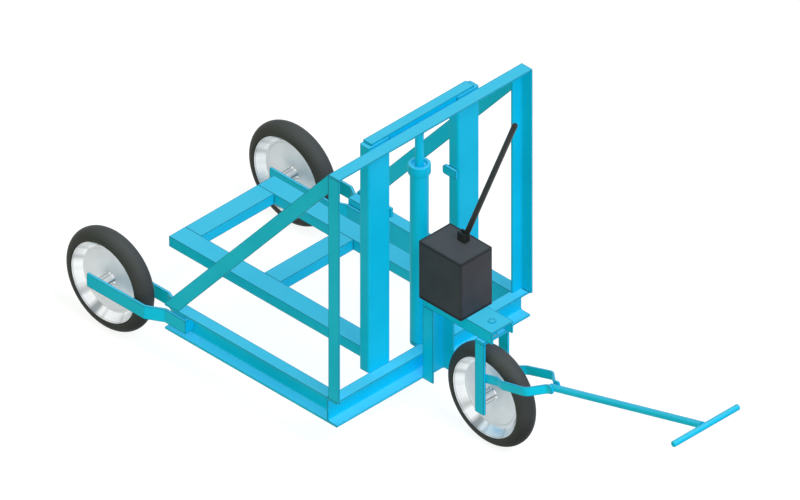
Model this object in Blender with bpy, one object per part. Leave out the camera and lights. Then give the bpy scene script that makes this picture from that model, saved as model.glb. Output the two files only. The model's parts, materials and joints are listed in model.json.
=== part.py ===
# Hydraulic lift trolley: a three-wheeled welded frame with a guided lifting platform,
# an upright ram worked by a hand pump, and a steered front wheel with a tow handle.
# Metres. +X is the towing direction, +Z is up, and the ground is Z = 0 below the middle of the
# overall length. Every lengthwise place is counted from the front face of the base frame.

from math import acos, cos, hypot, pi, radians, sin

import bmesh
import bpy
from mathutils import Matrix, Vector

# Fits
GAP = 0.0003            # between pieces that touch or are welded
RUNNING_FIT = 0.0001    # radial clearance of turning and sliding pieces
SLIDE_FIT = 0.0006      # clearance of the lifting columns on their guides

# Rolled sections: depth, flange width, web, flange, root radius, toe radius
BEAM_DEPTH, BEAM_FLANGE, BEAM_WEB, BEAM_FLANGE_T = 0.100, 0.046, 0.0045, 0.0076
DECK_DEPTH, DECK_FLANGE, DECK_WEB, DECK_FLANGE_T = 0.075, 0.040, 0.0048, 0.0075
ROOT_RADIUS, TOE_RADIUS = 0.0065, 0.0025
ANGLE_LEG, ANGLE_T = 0.050, 0.006
ANGLE_ROOT_RADIUS, ANGLE_TOE_RADIUS = 0.005, 0.003

# Base frame
FRAME_LENGTH = 0.800
FRAME_WIDTH = 0.900

# Wheels
TYRE_RADIUS = 0.190
TYRE_WIDTH = 0.075
RIM_LIP_RADIUS = 0.1485
RIM_LIP_HALF_WIDTH = 0.0345
RIM_WALL = 0.0035
DISC_RADIUS = 0.126
DISC_T = 0.006
HUB_RADIUS = 0.0225
HUB_LENGTH = 0.099
AXLE_RADIUS = 0.010
AXLE_SOCKET = 0.007     # depth of the blind bore that holds each end of an axle
WHEEL_SPACE = 0.100     # clear width between the bars or legs that carry a wheel
WHEEL_INSET = 0.025     # middle of a rear wheel inside the frame's side
WHEEL_SEGMENTS = 48
REAR_AXLE_TRAIL = 0.278  # behind the rear of the frame
FRONT_AXLE_AHEAD = 0.273

# Flat bars that carry the rear wheels
WHEEL_BAR_HEIGHT = 0.050
WHEEL_BAR_T = 0.010
WHEEL_BAR_OVERHANG = 0.050
JOGGLE_LENGTH = 0.062
WHEEL_BAR_TAIL = 0.095  # length lapped along the side beam

# Portal
PORTAL_HEIGHT = 1.000   # above the underside of the frame
PORTAL_SETBACK = 0.039  # rear plane of the posts behind the front face of the frame
BRACE_WIDTH = 0.050
BRACE_T = 0.006
BRACE_HEEL = 0.003      # height of the upright cut at the lower end

# Lifting carriage
COLUMN_WIDTH, COLUMN_DEPTH = 0.100, 0.046
COLUMN_WALL, COLUMN_CORNER = 0.005, 0.008
COLUMN_OFFSET = 0.2074   # from the centreline to the middle of a column
COLUMN_TOP_PROUD = 0.003  # above the top of the portal, with the carriage down
CROSSHEAD_LENGTH = 0.476
DECK_WIDTH = 0.489
DECK_TOP = 0.3165        # above the ground
DECK_OVERHANG = 0.186    # behind the rear of the frame
DECK_BAY = 0.369         # from the deck's rear edge to the rear edge of its middle member
LUG_LENGTH, LUG_HEIGHT, LUG_T = 0.060, 0.033, 0.012
LUG_DROP = 0.321         # from the top of the portal, with the carriage down
LUG_CORNER = 0.008
PAD_HEIGHT, PAD_WIDTH, PAD_T = 0.044, 0.080, 0.003

# Ram
BARREL_RADIUS = 0.0315
BORE_RADIUS = 0.025
BARREL_FLOOR_T = 0.012
ROD_RADIUS = 0.015
ROD_SHOWN = 0.126        # between the gland and the crosshead, with the carriage down
GLAND_RADIUS = 0.0385
GLAND_HEAD = 0.024       # above the barrel
GLAND_SKIRT = 0.013      # down over the barrel
GLAND_SPIGOT = 0.028     # down into the barrel
GLAND_RECESS_RADIUS = 0.026
GLAND_RECESS = 0.010
GLAND_CHAMFER = 0.003
PISTON_HEIGHT = 0.040
PISTON_RISE = 0.012      # above the barrel's floor, with the carriage down
SEAT_T = 0.010
SEAT_WEB_T = 0.008
SEAT_WEB_DROP = 0.070
PORT_RADIUS, PORT_BORE, PORT_LENGTH = 0.011, 0.005, 0.014
ROUND_SEGMENTS = 32

# Steering head
NECK_WIDTH_SECTION = BEAM_DEPTH
BRACKET_TOP = 0.480
BRACKET_AHEAD = 0.048    # past the kingpin
FORK_BAR_WIDTH, FORK_BAR_T = 0.040, 0.010
FORK_FOOT = 0.050        # below the axle
KINGPIN_RADIUS = 0.010
SLEEVE_WALL = 0.0065
WASHER_RADIUS, WASHER_T = 0.018, 0.0035
CAP_RADIUS, CAP_HEIGHT = 0.0145, 0.003

# Drawbar
DRAWBAR_HINGE_RISE = 0.0866  # above the axle
DRAWBAR_ANGLE = radians(15.74)
DRAWBAR_REACH = 1.0316       # from the hinge to the middle of the handle
YOKE_BAR_HEIGHT, YOKE_BAR_T = 0.032, 0.008
YOKE_SPLAY = 0.072           # along the bar, where it starts to widen
YOKE_BEND = 0.231            # where it turns in to the rod
YOKE_BEND_HALF_WIDTH = 0.068
YOKE_TIP = 0.285
YOKE_HEEL = 0.016
TOW_ROD_RADIUS = 0.0125
TOW_ROD_LAP = 0.024
HANDLE_RADIUS, HANDLE_LENGTH = 0.011, 0.305
DRAWBAR_PIN_RADIUS = 0.008

# Hand pump
PUMP_LENGTH, PUMP_WIDTH, PUMP_HEIGHT = 0.198, 0.148, 0.225
PUMP_CORNER, PUMP_WALL, PUMP_FLOOR_T = 0.006, 0.003, 0.005
PUMP_FRONT = 0.2015      # of the casing, ahead of the frame's front face
PUMP_BLOCK = 0.060
PUMP_BLOCK_HEIGHT = 0.110
PLUNGER_RADIUS, PLUNGER_LENGTH = 0.009, 0.100
PLUNGER_DEPTH = 0.070    # in the block, with the lever at rest
PLUNGER_OFFSET = 0.036   # behind the lever's pivot
OUTLET_RISE = 0.045
SOCKET_LENGTH, SOCKET_HEIGHT, CHEEK_T, SOCKET_BASE_T = 0.035, 0.034, 0.0067, 0.005
SOCKET_AHEAD, SOCKET_OFFSET = 0.1063, 0.0336
LEVER_RADIUS = 0.010
LEVER_EYE_RADIUS, LEVER_EYE_T = 0.0085, 0.010  # of the flat tongue in the socket
LEVER_PIN_RADIUS = 0.004
LEVER_PIN_PROUD = 0.001
LEVER_PIVOT_RISE = 0.016
LEVER_PIVOT_AHEAD = 0.007  # of the middle of the socket
LEVER_SHANK_START = 0.027  # of the round bar, from the pivot
LEVER_FORWARD, LEVER_UP = 0.2332, 0.5704

# Heights and lengthwise places worked out from the sizes above
AXLE_Z = TYRE_RADIUS
FRAME_BOTTOM = AXLE_Z - BEAM_DEPTH / 2
FRAME_TOP = FRAME_BOTTOM + BEAM_DEPTH
PORTAL_TOP = FRAME_BOTTOM + PORTAL_HEIGHT
HALF_WIDTH = FRAME_WIDTH / 2
HANDLE_AHEAD = FRONT_AXLE_AHEAD + DRAWBAR_REACH * cos(DRAWBAR_ANGLE)
REAR_AXLE_BACK = FRAME_LENGTH + REAR_AXLE_TRAIL
REAR_REACH = REAR_AXLE_BACK + TYRE_RADIUS
FRONT_REACH = HANDLE_AHEAD + HANDLE_RADIUS
FRONT_FACE = (REAR_REACH - FRONT_REACH) / 2

PORTAL_REAR = FRONT_FACE - PORTAL_SETBACK
COLUMN_FRONT = PORTAL_REAR - GAP - PAD_T - SLIDE_FIT
COLUMN_REAR = COLUMN_FRONT - COLUMN_DEPTH
COLUMN_BOTTOM = FRAME_TOP + GAP
COLUMN_TOP = PORTAL_TOP + COLUMN_TOP_PROUD
CROSSHEAD_TOP = COLUMN_TOP + GAP + DECK_FLANGE_T
CROSSHEAD_BOTTOM = CROSSHEAD_TOP - DECK_DEPTH
LUG_BOTTOM = PORTAL_TOP - LUG_DROP
DECK_REAR = FRAME_LENGTH + DECK_OVERHANG
DECK_MIDDLE_REAR = DECK_REAR - DECK_BAY
RAM_X = (COLUMN_FRONT + COLUMN_REAR) / 2
BARREL_BOTTOM = FRAME_TOP + GAP
GLAND_TOP = CROSSHEAD_BOTTOM - GAP - ROD_SHOWN
BARREL_TOP = GLAND_TOP - GLAND_HEAD
PISTON_BOTTOM = BARREL_BOTTOM + BARREL_FLOOR_T + PISTON_RISE
WHEEL_PLANE = HALF_WIDTH - WHEEL_INSET
KINGPIN_X = FRONT_FACE + FRONT_AXLE_AHEAD
REAR_AXLE_X = FRONT_FACE - REAR_AXLE_BACK
BRACKET_BOTTOM = BRACKET_TOP - BEAM_FLANGE
CROWN_TOP = BRACKET_BOTTOM - GAP - WASHER_T - GAP
CROWN_BOTTOM = CROWN_TOP - FORK_BAR_T
HINGE_Z = AXLE_Z + DRAWBAR_HINGE_RISE
PUMP_FLOOR = BRACKET_TOP + GAP
CASING_BOTTOM = PUMP_FLOOR + PUMP_FLOOR_T + GAP
PUMP_TOP = PUMP_FLOOR + PUMP_HEIGHT
PUMP_MIDDLE = FRONT_FACE + PUMP_FRONT - PUMP_LENGTH / 2
SOCKET_X = FRONT_FACE + SOCKET_AHEAD
LEVER_X = SOCKET_X + LEVER_PIVOT_AHEAD
LEVER_PIVOT_Z = PUMP_TOP + GAP + LEVER_PIVOT_RISE


def material(name, colour, roughness, metallic=0.0):
    """A plain Principled material."""
    made = bpy.data.materials.new(name)
    made.use_nodes = True
    shader = made.node_tree.nodes["Principled BSDF"]
    shader.inputs["Base Color"].default_value = (*colour, 1.0)
    shader.inputs["Roughness"].default_value = roughness
    shader.inputs["Metallic"].default_value = metallic
    return made


def paint(name):
    """Sky-blue enamel on a rolled steel member."""
    return material(name + "_enamel", (0.02, 0.42, 0.72), 0.45)


def steel(name):
    return material(name + "_bright_steel", (0.62, 0.63, 0.64), 0.30, 1.0)


def black_steel(name):
    return material(name + "_black_steel", (0.035, 0.037, 0.04), 0.5)


def mesh_object(name, bm, finish, smooth=None):
    """Turns a bmesh into a named object, with round faces shaded smooth up to an angle."""
    bmesh.ops.recalc_face_normals(bm, faces=bm.faces)
    mesh = bpy.data.meshes.new(name)
    bm.to_mesh(mesh)
    bm.free()
    if smooth is not None:
        mesh.shade_smooth()
        mesh.set_sharp_from_angle(angle=radians(smooth))
    made = bpy.data.objects.new(name, mesh)
    made.data.materials.append(finish)
    bpy.context.scene.collection.objects.link(made)
    return made


def placed(made, origin, across, up):
    """Puts a piece's local X along across and its local Y along up, at origin."""
    x_axis = Vector(across).normalized()
    y_axis = Vector(up).normalized()
    basis = Matrix((x_axis, y_axis, x_axis.cross(y_axis))).transposed()
    made.matrix_world = Matrix.Translation(Vector(origin)) @ basis.to_4x4()
    return made


def prism(name, outline, length, finish, smooth=None):
    """An outline in local XY carried from Z = 0 to length."""
    bm = bmesh.new()
    face = bm.faces.new([bm.verts.new((a, b, 0.0)) for a, b in outline])
    swept = bmesh.ops.extrude_face_region(bm, geom=[face])["geom"]
    moved = [item for item in swept if isinstance(item, bmesh.types.BMVert)]
    bmesh.ops.translate(bm, verts=moved, vec=(0.0, 0.0, length))
    return mesh_object(name, bm, finish, smooth)


def block(name, low, high, finish):
    """A straight-sided block between two corners, given in the trolley's own frame."""
    low, high = Vector(low), Vector(high)
    size = high - low
    outline = [(0.0, 0.0), (size.x, 0.0), (size.x, size.y), (0.0, size.y)]
    made = prism(name, outline, size.z, finish)
    made.location = low
    return made


def turned(name, profile, finish, segments=ROUND_SEGMENTS, closed=False):
    """A (radius, height) profile spun round local Z. An open profile starts and ends on the axis."""
    bm = bmesh.new()
    rings = []
    for radius, height in profile:
        if radius == 0.0:
            rings.append([bm.verts.new((0.0, 0.0, height))])
            continue
        turns = [2 * pi * step / segments for step in range(segments)]
        rings.append([bm.verts.new((radius * cos(t), radius * sin(t), height)) for t in turns])
    pairs = list(zip(rings, rings[1:]))
    if closed:
        pairs.append((rings[-1], rings[0]))
    for below, above in pairs:
        for step in range(segments):
            after = (step + 1) % segments
            corners = [below[step % len(below)], below[after % len(below)],
                       above[after % len(above)], above[step % len(above)]]
            loop = [corner for place, corner in enumerate(corners) if corner not in corners[:place]]
            bm.faces.new(loop)
    return mesh_object(name, bm, finish, smooth=35)


def rod(name, radius, length, finish, segments=ROUND_SEGMENTS):
    return turned(name, [(0.0, 0.0), (radius, 0.0), (radius, length), (0.0, length)], finish, segments)


def tube(name, outer, inner, length, finish, segments=ROUND_SEGMENTS):
    profile = [(inner, 0.0), (outer, 0.0), (outer, length), (inner, length)]
    return turned(name, profile, finish, segments, closed=True)


def cut(made, cutter):
    """Takes a cutter out of a piece with a Boolean that stays on the piece."""
    cutter.hide_render = True
    cutter.display_type = "WIRE"
    boolean = made.modifiers.new("cut_" + cutter.name, "BOOLEAN")
    boolean.operation = "DIFFERENCE"
    boolean.solver = "EXACT"
    boolean.object = cutter
    return made


def joined(made, other):
    """Adds another solid to a piece with a Boolean that stays on the piece."""
    other.hide_render = True
    other.display_type = "WIRE"
    boolean = made.modifiers.new("join_" + other.name, "BOOLEAN")
    boolean.operation = "UNION"
    boolean.solver = "EXACT"
    boolean.object = other
    return made


def bored(made, name, radius, centre, along, length, segments=ROUND_SEGMENTS):
    """Bores a round hole through a piece, centred on centre and running along an axis."""
    drill = rod(name, radius, length, made.data.materials[0], segments)
    along = Vector(along).normalized()
    side = along.orthogonal().normalized()
    placed(drill, Vector(centre) - along * length / 2, side, along.cross(side))
    return cut(made, drill)


def arc(centre, radius, start, end, steps):
    """Points on an arc from a start to an end angle in degrees."""
    angles = [radians(start + (end - start) * step / steps) for step in range(steps + 1)]
    return [(centre[0] + radius * cos(a), centre[1] + radius * sin(a)) for a in angles]


def channel_outline(depth, flange, web_t, flange_t, steps=3):
    """A channel: the web lies along local Y at X = 0, and the flanges point along +X."""
    outline = [(0.0, 0.0)]
    outline += [(flange, 0.0)]
    outline += arc((flange - TOE_RADIUS, flange_t - TOE_RADIUS), TOE_RADIUS, 0, 90, steps)
    outline += arc((web_t + ROOT_RADIUS, flange_t + ROOT_RADIUS), ROOT_RADIUS, 270, 180, steps)
    upper = [(a, depth - b) for a, b in reversed(outline)]
    return outline + upper


def angle_outline(leg, thickness, steps=3):
    """An equal angle with its heel at the origin and its legs along +X and +Y."""
    lower = [(0.0, 0.0), (leg, 0.0)]
    lower += arc((leg - ANGLE_TOE_RADIUS, thickness - ANGLE_TOE_RADIUS), ANGLE_TOE_RADIUS, 0, 90, steps)
    inner = thickness + ANGLE_ROOT_RADIUS
    root = arc((inner, inner), ANGLE_ROOT_RADIUS, 270, 180, steps)
    upper = [(b, a) for a, b in reversed(lower[1:])]
    return lower + root + upper


def beam_channel(name, length):
    return prism(name, channel_outline(BEAM_DEPTH, BEAM_FLANGE, BEAM_WEB, BEAM_FLANGE_T), length, paint(name))


def deck_channel(name, length):
    return prism(name, channel_outline(DECK_DEPTH, DECK_FLANGE, DECK_WEB, DECK_FLANGE_T), length, paint(name))


def strip_outline(path, thickness):
    """A bent strip seen from its edge: path is its outer line, and thickness is laid to its left."""
    outer = [Vector(point) for point in path]
    inner = []
    for place, point in enumerate(outer):
        before = (point - outer[place - 1]).normalized() if place > 0 else None
        after = (outer[place + 1] - point).normalized() if place + 1 < len(outer) else None
        before = before or after
        after = after or before
        left_before = Vector((-before.y, before.x))
        left_after = Vector((-after.y, after.x))
        middle = (left_before + left_after).normalized()
        inner.append(point + middle * thickness / middle.dot(left_before))
    return [tuple(point) for point in outer + list(reversed(inner))]


def pivot(name, place):
    """An empty on a joint's axis, which carries the pieces that move."""
    empty = bpy.data.objects.new(name, None)
    empty.empty_display_size = 0.05
    empty.location = place
    bpy.context.scene.collection.objects.link(empty)
    return empty


def carry(empty, pieces):
    for piece in pieces:
        piece.parent = empty
        piece.matrix_parent_inverse = Matrix.Translation(-Vector(empty.location))


def build_base_frame():
    """Front beam with its flanges forward, and two side beams with their flanges outward."""
    front = beam_channel("front_beam", FRAME_WIDTH)
    placed(front, (FRONT_FACE - BEAM_FLANGE, HALF_WIDTH, FRAME_BOTTOM), (1, 0, 0), (0, 0, 1))
    side_length = FRAME_LENGTH - BEAM_FLANGE - GAP
    left = beam_channel("side_beam_left", side_length)
    right = beam_channel("side_beam_right", side_length)
    rear = FRONT_FACE - FRAME_LENGTH
    web = HALF_WIDTH - BEAM_FLANGE
    placed(left, (rear + side_length, -web, FRAME_BOTTOM), (0, -1, 0), (0, 0, 1))
    placed(right, (rear, web, FRAME_BOTTOM), (0, 1, 0), (0, 0, 1))


def wheel_bar_path(wheel_side, tail_side, turn_in):
    """Plan of a wheel bar's outer line from its rear end, with its joggle and an end turned inward."""
    rear = REAR_AXLE_X - WHEEL_BAR_OVERHANG
    tail = FRONT_FACE - FRAME_LENGTH
    path = [(rear, wheel_side), (tail - JOGGLE_LENGTH, wheel_side)]
    path += [(tail, tail_side), (tail + WHEEL_BAR_TAIL, tail_side)]
    if turn_in:
        path.append((tail + WHEEL_BAR_TAIL, tail_side + turn_in))
    return path


def build_wheel_bars(side, sign):
    """Two flat bars either side of a rear wheel, cranked onto the side beam."""
    bottom = AXLE_Z - WHEEL_BAR_HEIGHT / 2
    outer_wheel = WHEEL_PLANE + WHEEL_SPACE / 2 + WHEEL_BAR_T
    web_outside = HALF_WIDTH - BEAM_FLANGE + BEAM_WEB
    turn_in = HALF_WIDTH - web_outside - GAP
    outer_path = wheel_bar_path(-outer_wheel, -HALF_WIDTH, turn_in)
    inner_wheel = WHEEL_PLANE - WHEEL_SPACE / 2
    inner_path = wheel_bar_path(-inner_wheel, -(HALF_WIDTH - BEAM_FLANGE - GAP), 0.0)
    for name, path in (("outer", outer_path), ("inner", inner_path)):
        outline = [(a, b * -sign) for a, b in strip_outline(path, WHEEL_BAR_T)]
        node = "rear_wheel_bar_%s_%s" % (name, side)
        bar = prism(node, outline, WHEEL_BAR_HEIGHT, paint(node))
        bar.location = (0.0, 0.0, bottom)
        bored(bar, node + "_drill", AXLE_RADIUS + GAP,
              (REAR_AXLE_X, sign * WHEEL_PLANE, AXLE_Z), (0, 1, 0), WHEEL_SPACE + 2 * AXLE_SOCKET)


def tyre_outline():
    """Section of the solid tyre: a round tread over the rim, and a bed that follows the rim."""
    half = TYRE_WIDTH / 2
    centre = TYRE_RADIUS - half
    lip = acos((RIM_LIP_RADIUS + GAP - centre) / half)
    steps = 10
    angles = [lip - 2 * lip * step / steps for step in range(steps + 1)]
    tread = [(centre + half * cos(a), half * sin(a)) for a in angles]
    shoulder = RIM_LIP_HALF_WIDTH - RIM_WALL - GAP
    bed = [(RIM_LIP_RADIUS + GAP, -shoulder), (RIM_LIP_RADIUS - RIM_WALL + GAP, -shoulder)]
    bed += [(radius + GAP, height) for radius, height in reversed(rim_bed()[1:3])]
    bed += [(radius, -height) for radius, height in reversed(bed[:2])]
    return tread + bed


def rim_bed():
    """The rim's outer surface, from the far lip to the near one, as (radius, height)."""
    well = DISC_RADIUS + RIM_WALL
    return [(RIM_LIP_RADIUS - RIM_WALL, RIM_LIP_HALF_WIDTH - RIM_WALL), (well, DISC_T),
            (well, -DISC_T), (RIM_LIP_RADIUS - RIM_WALL, -(RIM_LIP_HALF_WIDTH - RIM_WALL))]


def build_wheel(name, centre):
    """A tyre on a dished rim with its hub, turning about an axis along Y."""
    half_disc = DISC_T / 2
    half_hub = HUB_LENGTH / 2
    bore = AXLE_RADIUS + RUNNING_FIT
    side = [(bore, half_hub), (HUB_RADIUS, half_hub), (HUB_RADIUS, half_disc)]
    side += [(DISC_RADIUS - RIM_WALL * 2, half_disc), (DISC_RADIUS, half_disc + RIM_WALL)]
    side += [(RIM_LIP_RADIUS - RIM_WALL, RIM_LIP_HALF_WIDTH), (RIM_LIP_RADIUS, RIM_LIP_HALF_WIDTH)]
    side += [(RIM_LIP_RADIUS, RIM_LIP_HALF_WIDTH - RIM_WALL)]
    outline = side + rim_bed() + [(radius, -height) for radius, height in reversed(side)]
    rim = turned(name + "_rim", outline, material(name + "_rim_plate", (0.72, 0.74, 0.75), 0.25, 0.9),
                 WHEEL_SEGMENTS, closed=True)
    tyre = turned(name + "_tyre", tyre_outline(), material(name + "_rubber", (0.03, 0.03, 0.032), 0.7),
                  WHEEL_SEGMENTS, closed=True)
    for piece in (rim, tyre):
        placed(piece, centre, (0, 0, 1), (1, 0, 0))
    carry(pivot(name + "_pivot", centre), [rim, tyre])


def axle(name, centre):
    """A plain pin along Y, held at each end in a blind bore."""
    x, y, z = centre
    half_length = WHEEL_SPACE / 2 + AXLE_SOCKET - GAP
    pin = rod(name, AXLE_RADIUS, 2 * half_length, steel(name))
    placed(pin, (x, y - half_length, z), (0, 0, 1), (1, 0, 0))
    return pin


def build_rear_wheels():
    for side, sign in (("left", -1), ("right", 1)):
        centre = (REAR_AXLE_X, sign * WHEEL_PLANE, AXLE_Z)
        build_wheel_bars(side, sign)
        build_wheel("rear_wheel_" + side, centre)
        axle("rear_axle_" + side, centre)


def build_portal():
    """Two posts and a top bar of equal angle, with a flat brace down to each side beam."""
    plane = PORTAL_REAR
    post_height = PORTAL_TOP - ANGLE_T - FRAME_TOP - 2 * GAP
    outline = angle_outline(ANGLE_LEG, ANGLE_T)
    left = prism("post_left", outline, post_height, paint("post_left"))
    placed(left, (plane, -HALF_WIDTH, FRAME_TOP + GAP), (1, 0, 0), (0, 1, 0))
    right = prism("post_right", outline, post_height, paint("post_right"))
    placed(right, (plane, HALF_WIDTH, FRAME_TOP + GAP), (0, -1, 0), (1, 0, 0))
    bar = prism("top_bar", outline, FRAME_WIDTH, paint("top_bar"))
    placed(bar, (plane, HALF_WIDTH, PORTAL_TOP), (0, 0, -1), (1, 0, 0))
    for side, sign in (("left", -1), ("right", 1)):
        inner = sign * (HALF_WIDTH - ANGLE_LEG - GAP)
        outer = sign * (HALF_WIDTH + ANGLE_T)
        notch = block("top_bar_notch_" + side,
                      (plane - ANGLE_T, min(inner, outer), PORTAL_TOP - ANGLE_LEG - ANGLE_T),
                      (plane + ANGLE_LEG + ANGLE_T, max(inner, outer), PORTAL_TOP - ANGLE_T),
                      bar.data.materials[0])
        cut(bar, notch)
        build_brace(side, sign, plane - GAP)


def build_brace(side, sign, upper_x):
    """A flat bar from the top of a post down to the rear end of a side beam, cut to both."""
    lower_x = FRONT_FACE - FRAME_LENGTH
    lower_z = FRAME_TOP + GAP
    rise = (PORTAL_TOP - lower_z - BRACE_HEEL) / (upper_x - lower_x)
    drop = BRACE_WIDTH * hypot(1.0, rise)
    outline = [(lower_x, lower_z), (lower_x + (drop - BRACE_HEEL) / rise, lower_z),
               (upper_x, PORTAL_TOP - drop), (upper_x, PORTAL_TOP), (lower_x, lower_z + BRACE_HEEL)]
    name = "brace_" + side
    brace = prism(name, outline, BRACE_T, paint(name))
    outer_face = -HALF_WIDTH + BRACE_T if sign < 0 else HALF_WIDTH
    placed(brace, (0.0, outer_face, 0.0), (1, 0, 0), (0, 0, 1))


def build_column(side, sign):
    """A box section with round corners, closed at its top and open at its foot."""
    name = "column_" + side
    length = COLUMN_TOP - COLUMN_BOTTOM
    column = prism(name, rounded_rectangle(COLUMN_DEPTH, COLUMN_WIDTH, COLUMN_CORNER), length, paint(name), 35)
    column.location = (RAM_X, sign * COLUMN_OFFSET, COLUMN_BOTTOM)
    inside = rounded_rectangle(COLUMN_DEPTH - 2 * COLUMN_WALL, COLUMN_WIDTH - 2 * COLUMN_WALL,
                               COLUMN_CORNER - COLUMN_WALL)
    hollow = prism(name + "_hollow", inside, length, column.data.materials[0])
    hollow.location = (RAM_X, sign * COLUMN_OFFSET, COLUMN_BOTTOM - COLUMN_WALL)
    return cut(column, hollow)


def build_carriage():
    """Two guided columns, a crosshead between their tops, and the load deck."""
    pieces = []
    crosshead = deck_channel("crosshead", CROSSHEAD_LENGTH)
    placed(crosshead, (COLUMN_REAR + DECK_FLANGE, -CROSSHEAD_LENGTH / 2, CROSSHEAD_BOTTOM), (-1, 0, 0), (0, 0, 1))
    for side, sign in (("left", -1), ("right", 1)):
        inner = sign * (COLUMN_OFFSET - COLUMN_WIDTH / 2 - GAP)
        outer = sign * CROSSHEAD_LENGTH
        cope = block("crosshead_cope_" + side,
                     (COLUMN_REAR - DECK_FLANGE, min(inner, outer), CROSSHEAD_BOTTOM - DECK_DEPTH),
                     (COLUMN_FRONT + DECK_FLANGE, max(inner, outer), COLUMN_TOP + GAP),
                     crosshead.data.materials[0])
        cut(crosshead, cope)
        pieces += [build_column(side, sign), build_lug(side, sign)]
    pieces.append(crosshead)
    pieces += build_deck()
    pieces += build_ram_rod()
    carry(pivot("carriage_pivot", (RAM_X, 0.0, BARREL_BOTTOM)), pieces)


def build_lug(side, sign):
    """A thick plate with rounded rear corners on the inner face of a column."""
    name = "column_lug_" + side
    rear = COLUMN_FRONT - LUG_LENGTH
    corner = LUG_CORNER
    outline = [(COLUMN_FRONT, LUG_BOTTOM), (COLUMN_FRONT, LUG_BOTTOM + LUG_HEIGHT)]
    outline += arc((rear + corner, LUG_BOTTOM + LUG_HEIGHT - corner), corner, 90, 180, 4)
    outline += arc((rear + corner, LUG_BOTTOM + corner), corner, 180, 270, 4)
    lug = prism(name, outline, LUG_T, paint(name))
    inner_face = COLUMN_OFFSET - COLUMN_WIDTH / 2 - GAP
    near_face = inner_face if sign > 0 else -inner_face + LUG_T
    return placed(lug, (0.0, near_face, 0.0), (1, 0, 0), (0, 0, 1))


def build_deck():
    """Channels with their webs on top. The two arms butt on the backs of the columns."""
    rear = FRONT_FACE - DECK_REAR
    arm_length = COLUMN_REAR - GAP - rear
    half = DECK_WIDTH / 2
    inner = half - DECK_DEPTH
    pieces = []
    for side, low in (("left", -half), ("right", inner)):
        arm = deck_channel("deck_arm_" + side, arm_length)
        pieces.append(placed(arm, (rear, low, DECK_TOP), (0, 0, -1), (0, 1, 0)))
    for name, place in (("deck_rear_member", rear), ("deck_middle_member", FRONT_FACE - DECK_MIDDLE_REAR)):
        member = deck_channel(name, 2 * (inner - GAP))
        pieces.append(placed(member, (place + DECK_DEPTH, -(inner - GAP), DECK_TOP), (0, 0, -1), (-1, 0, 0)))
    return pieces


def build_ram_rod():
    """The rod under the crosshead, with the piston on its lower end."""
    piston = rod("piston", BORE_RADIUS - RUNNING_FIT, PISTON_HEIGHT, steel("piston"))
    piston.location = (RAM_X, 0.0, PISTON_BOTTOM)
    rod_bottom = PISTON_BOTTOM + PISTON_HEIGHT + GAP
    rod_length = CROSSHEAD_BOTTOM - GAP - rod_bottom
    ram_rod = rod("ram_rod", ROD_RADIUS, rod_length, paint("ram_rod"))
    ram_rod.location = (RAM_X, 0.0, rod_bottom)
    return [piston, ram_rod]


def build_guides():
    """Wear pads on the back of the top bar, which the columns slide against."""
    high = PORTAL_REAR - GAP
    low = high - PAD_T
    for side, sign in (("left", -1), ("right", 1)):
        middle = sign * COLUMN_OFFSET
        top = PORTAL_TOP - (ANGLE_LEG - PAD_HEIGHT) / 2
        block("wear_pad_" + side, (low, middle - PAD_WIDTH / 2, top - PAD_HEIGHT),
              (high, middle + PAD_WIDTH / 2, top), paint("wear_pad_" + side))


def build_ram_seat():
    """A round-ended plate level with the beam's top, behind it, on an upright web."""
    face = FRONT_FACE - BEAM_FLANGE - GAP
    outline = [(face, -BARREL_RADIUS)] + arc((RAM_X, 0.0), BARREL_RADIUS, 270, 90, 16) + [(face, BARREL_RADIUS)]
    seat = prism("ram_seat", outline, SEAT_T, paint("ram_seat"), 35)
    seat.location = (0.0, 0.0, FRAME_TOP - SEAT_T)
    middle = FRAME_TOP - SEAT_T / 2
    reach = RAM_X - BARREL_RADIUS / 2
    web = [(face, FRAME_TOP - SEAT_T - SEAT_WEB_DROP), (face, middle), (reach, middle),
           (reach, FRAME_TOP - 2 * SEAT_T), (face - SEAT_WEB_T, FRAME_TOP - SEAT_T - SEAT_WEB_DROP)]
    rib = prism("ram_seat_rib", web, SEAT_WEB_T, seat.data.materials[0])
    placed(rib, (0.0, SEAT_WEB_T / 2, 0.0), (1, 0, 0), (0, 0, 1))
    return joined(seat, rib)


def build_ram():
    """Barrel on its seat behind the front beam, with an oil port under the piston."""
    build_ram_seat()
    length = BARREL_TOP - BARREL_BOTTOM
    profile = [(0.0, 0.0), (BARREL_RADIUS, 0.0), (BARREL_RADIUS, length), (BORE_RADIUS, length),
               (BORE_RADIUS, BARREL_FLOOR_T), (0.0, BARREL_FLOOR_T)]
    barrel = turned("ram_barrel", profile, paint("ram_barrel"))
    barrel.location = (RAM_X, 0.0, BARREL_BOTTOM)
    port_z = BARREL_BOTTOM + BARREL_FLOOR_T + PISTON_RISE / 2
    bored(barrel, "ram_port_drill", PORT_BORE, (RAM_X, BARREL_RADIUS, port_z), (0, 1, 0),
          2 * BARREL_RADIUS - BORE_RADIUS, 24)
    port = tube("ram_port", PORT_RADIUS, PORT_BORE, PORT_LENGTH, steel("ram_port"), 24)
    placed(port, (RAM_X, BARREL_RADIUS + GAP, port_z), (0, 0, 1), (1, 0, 0))
    build_gland()


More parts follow.
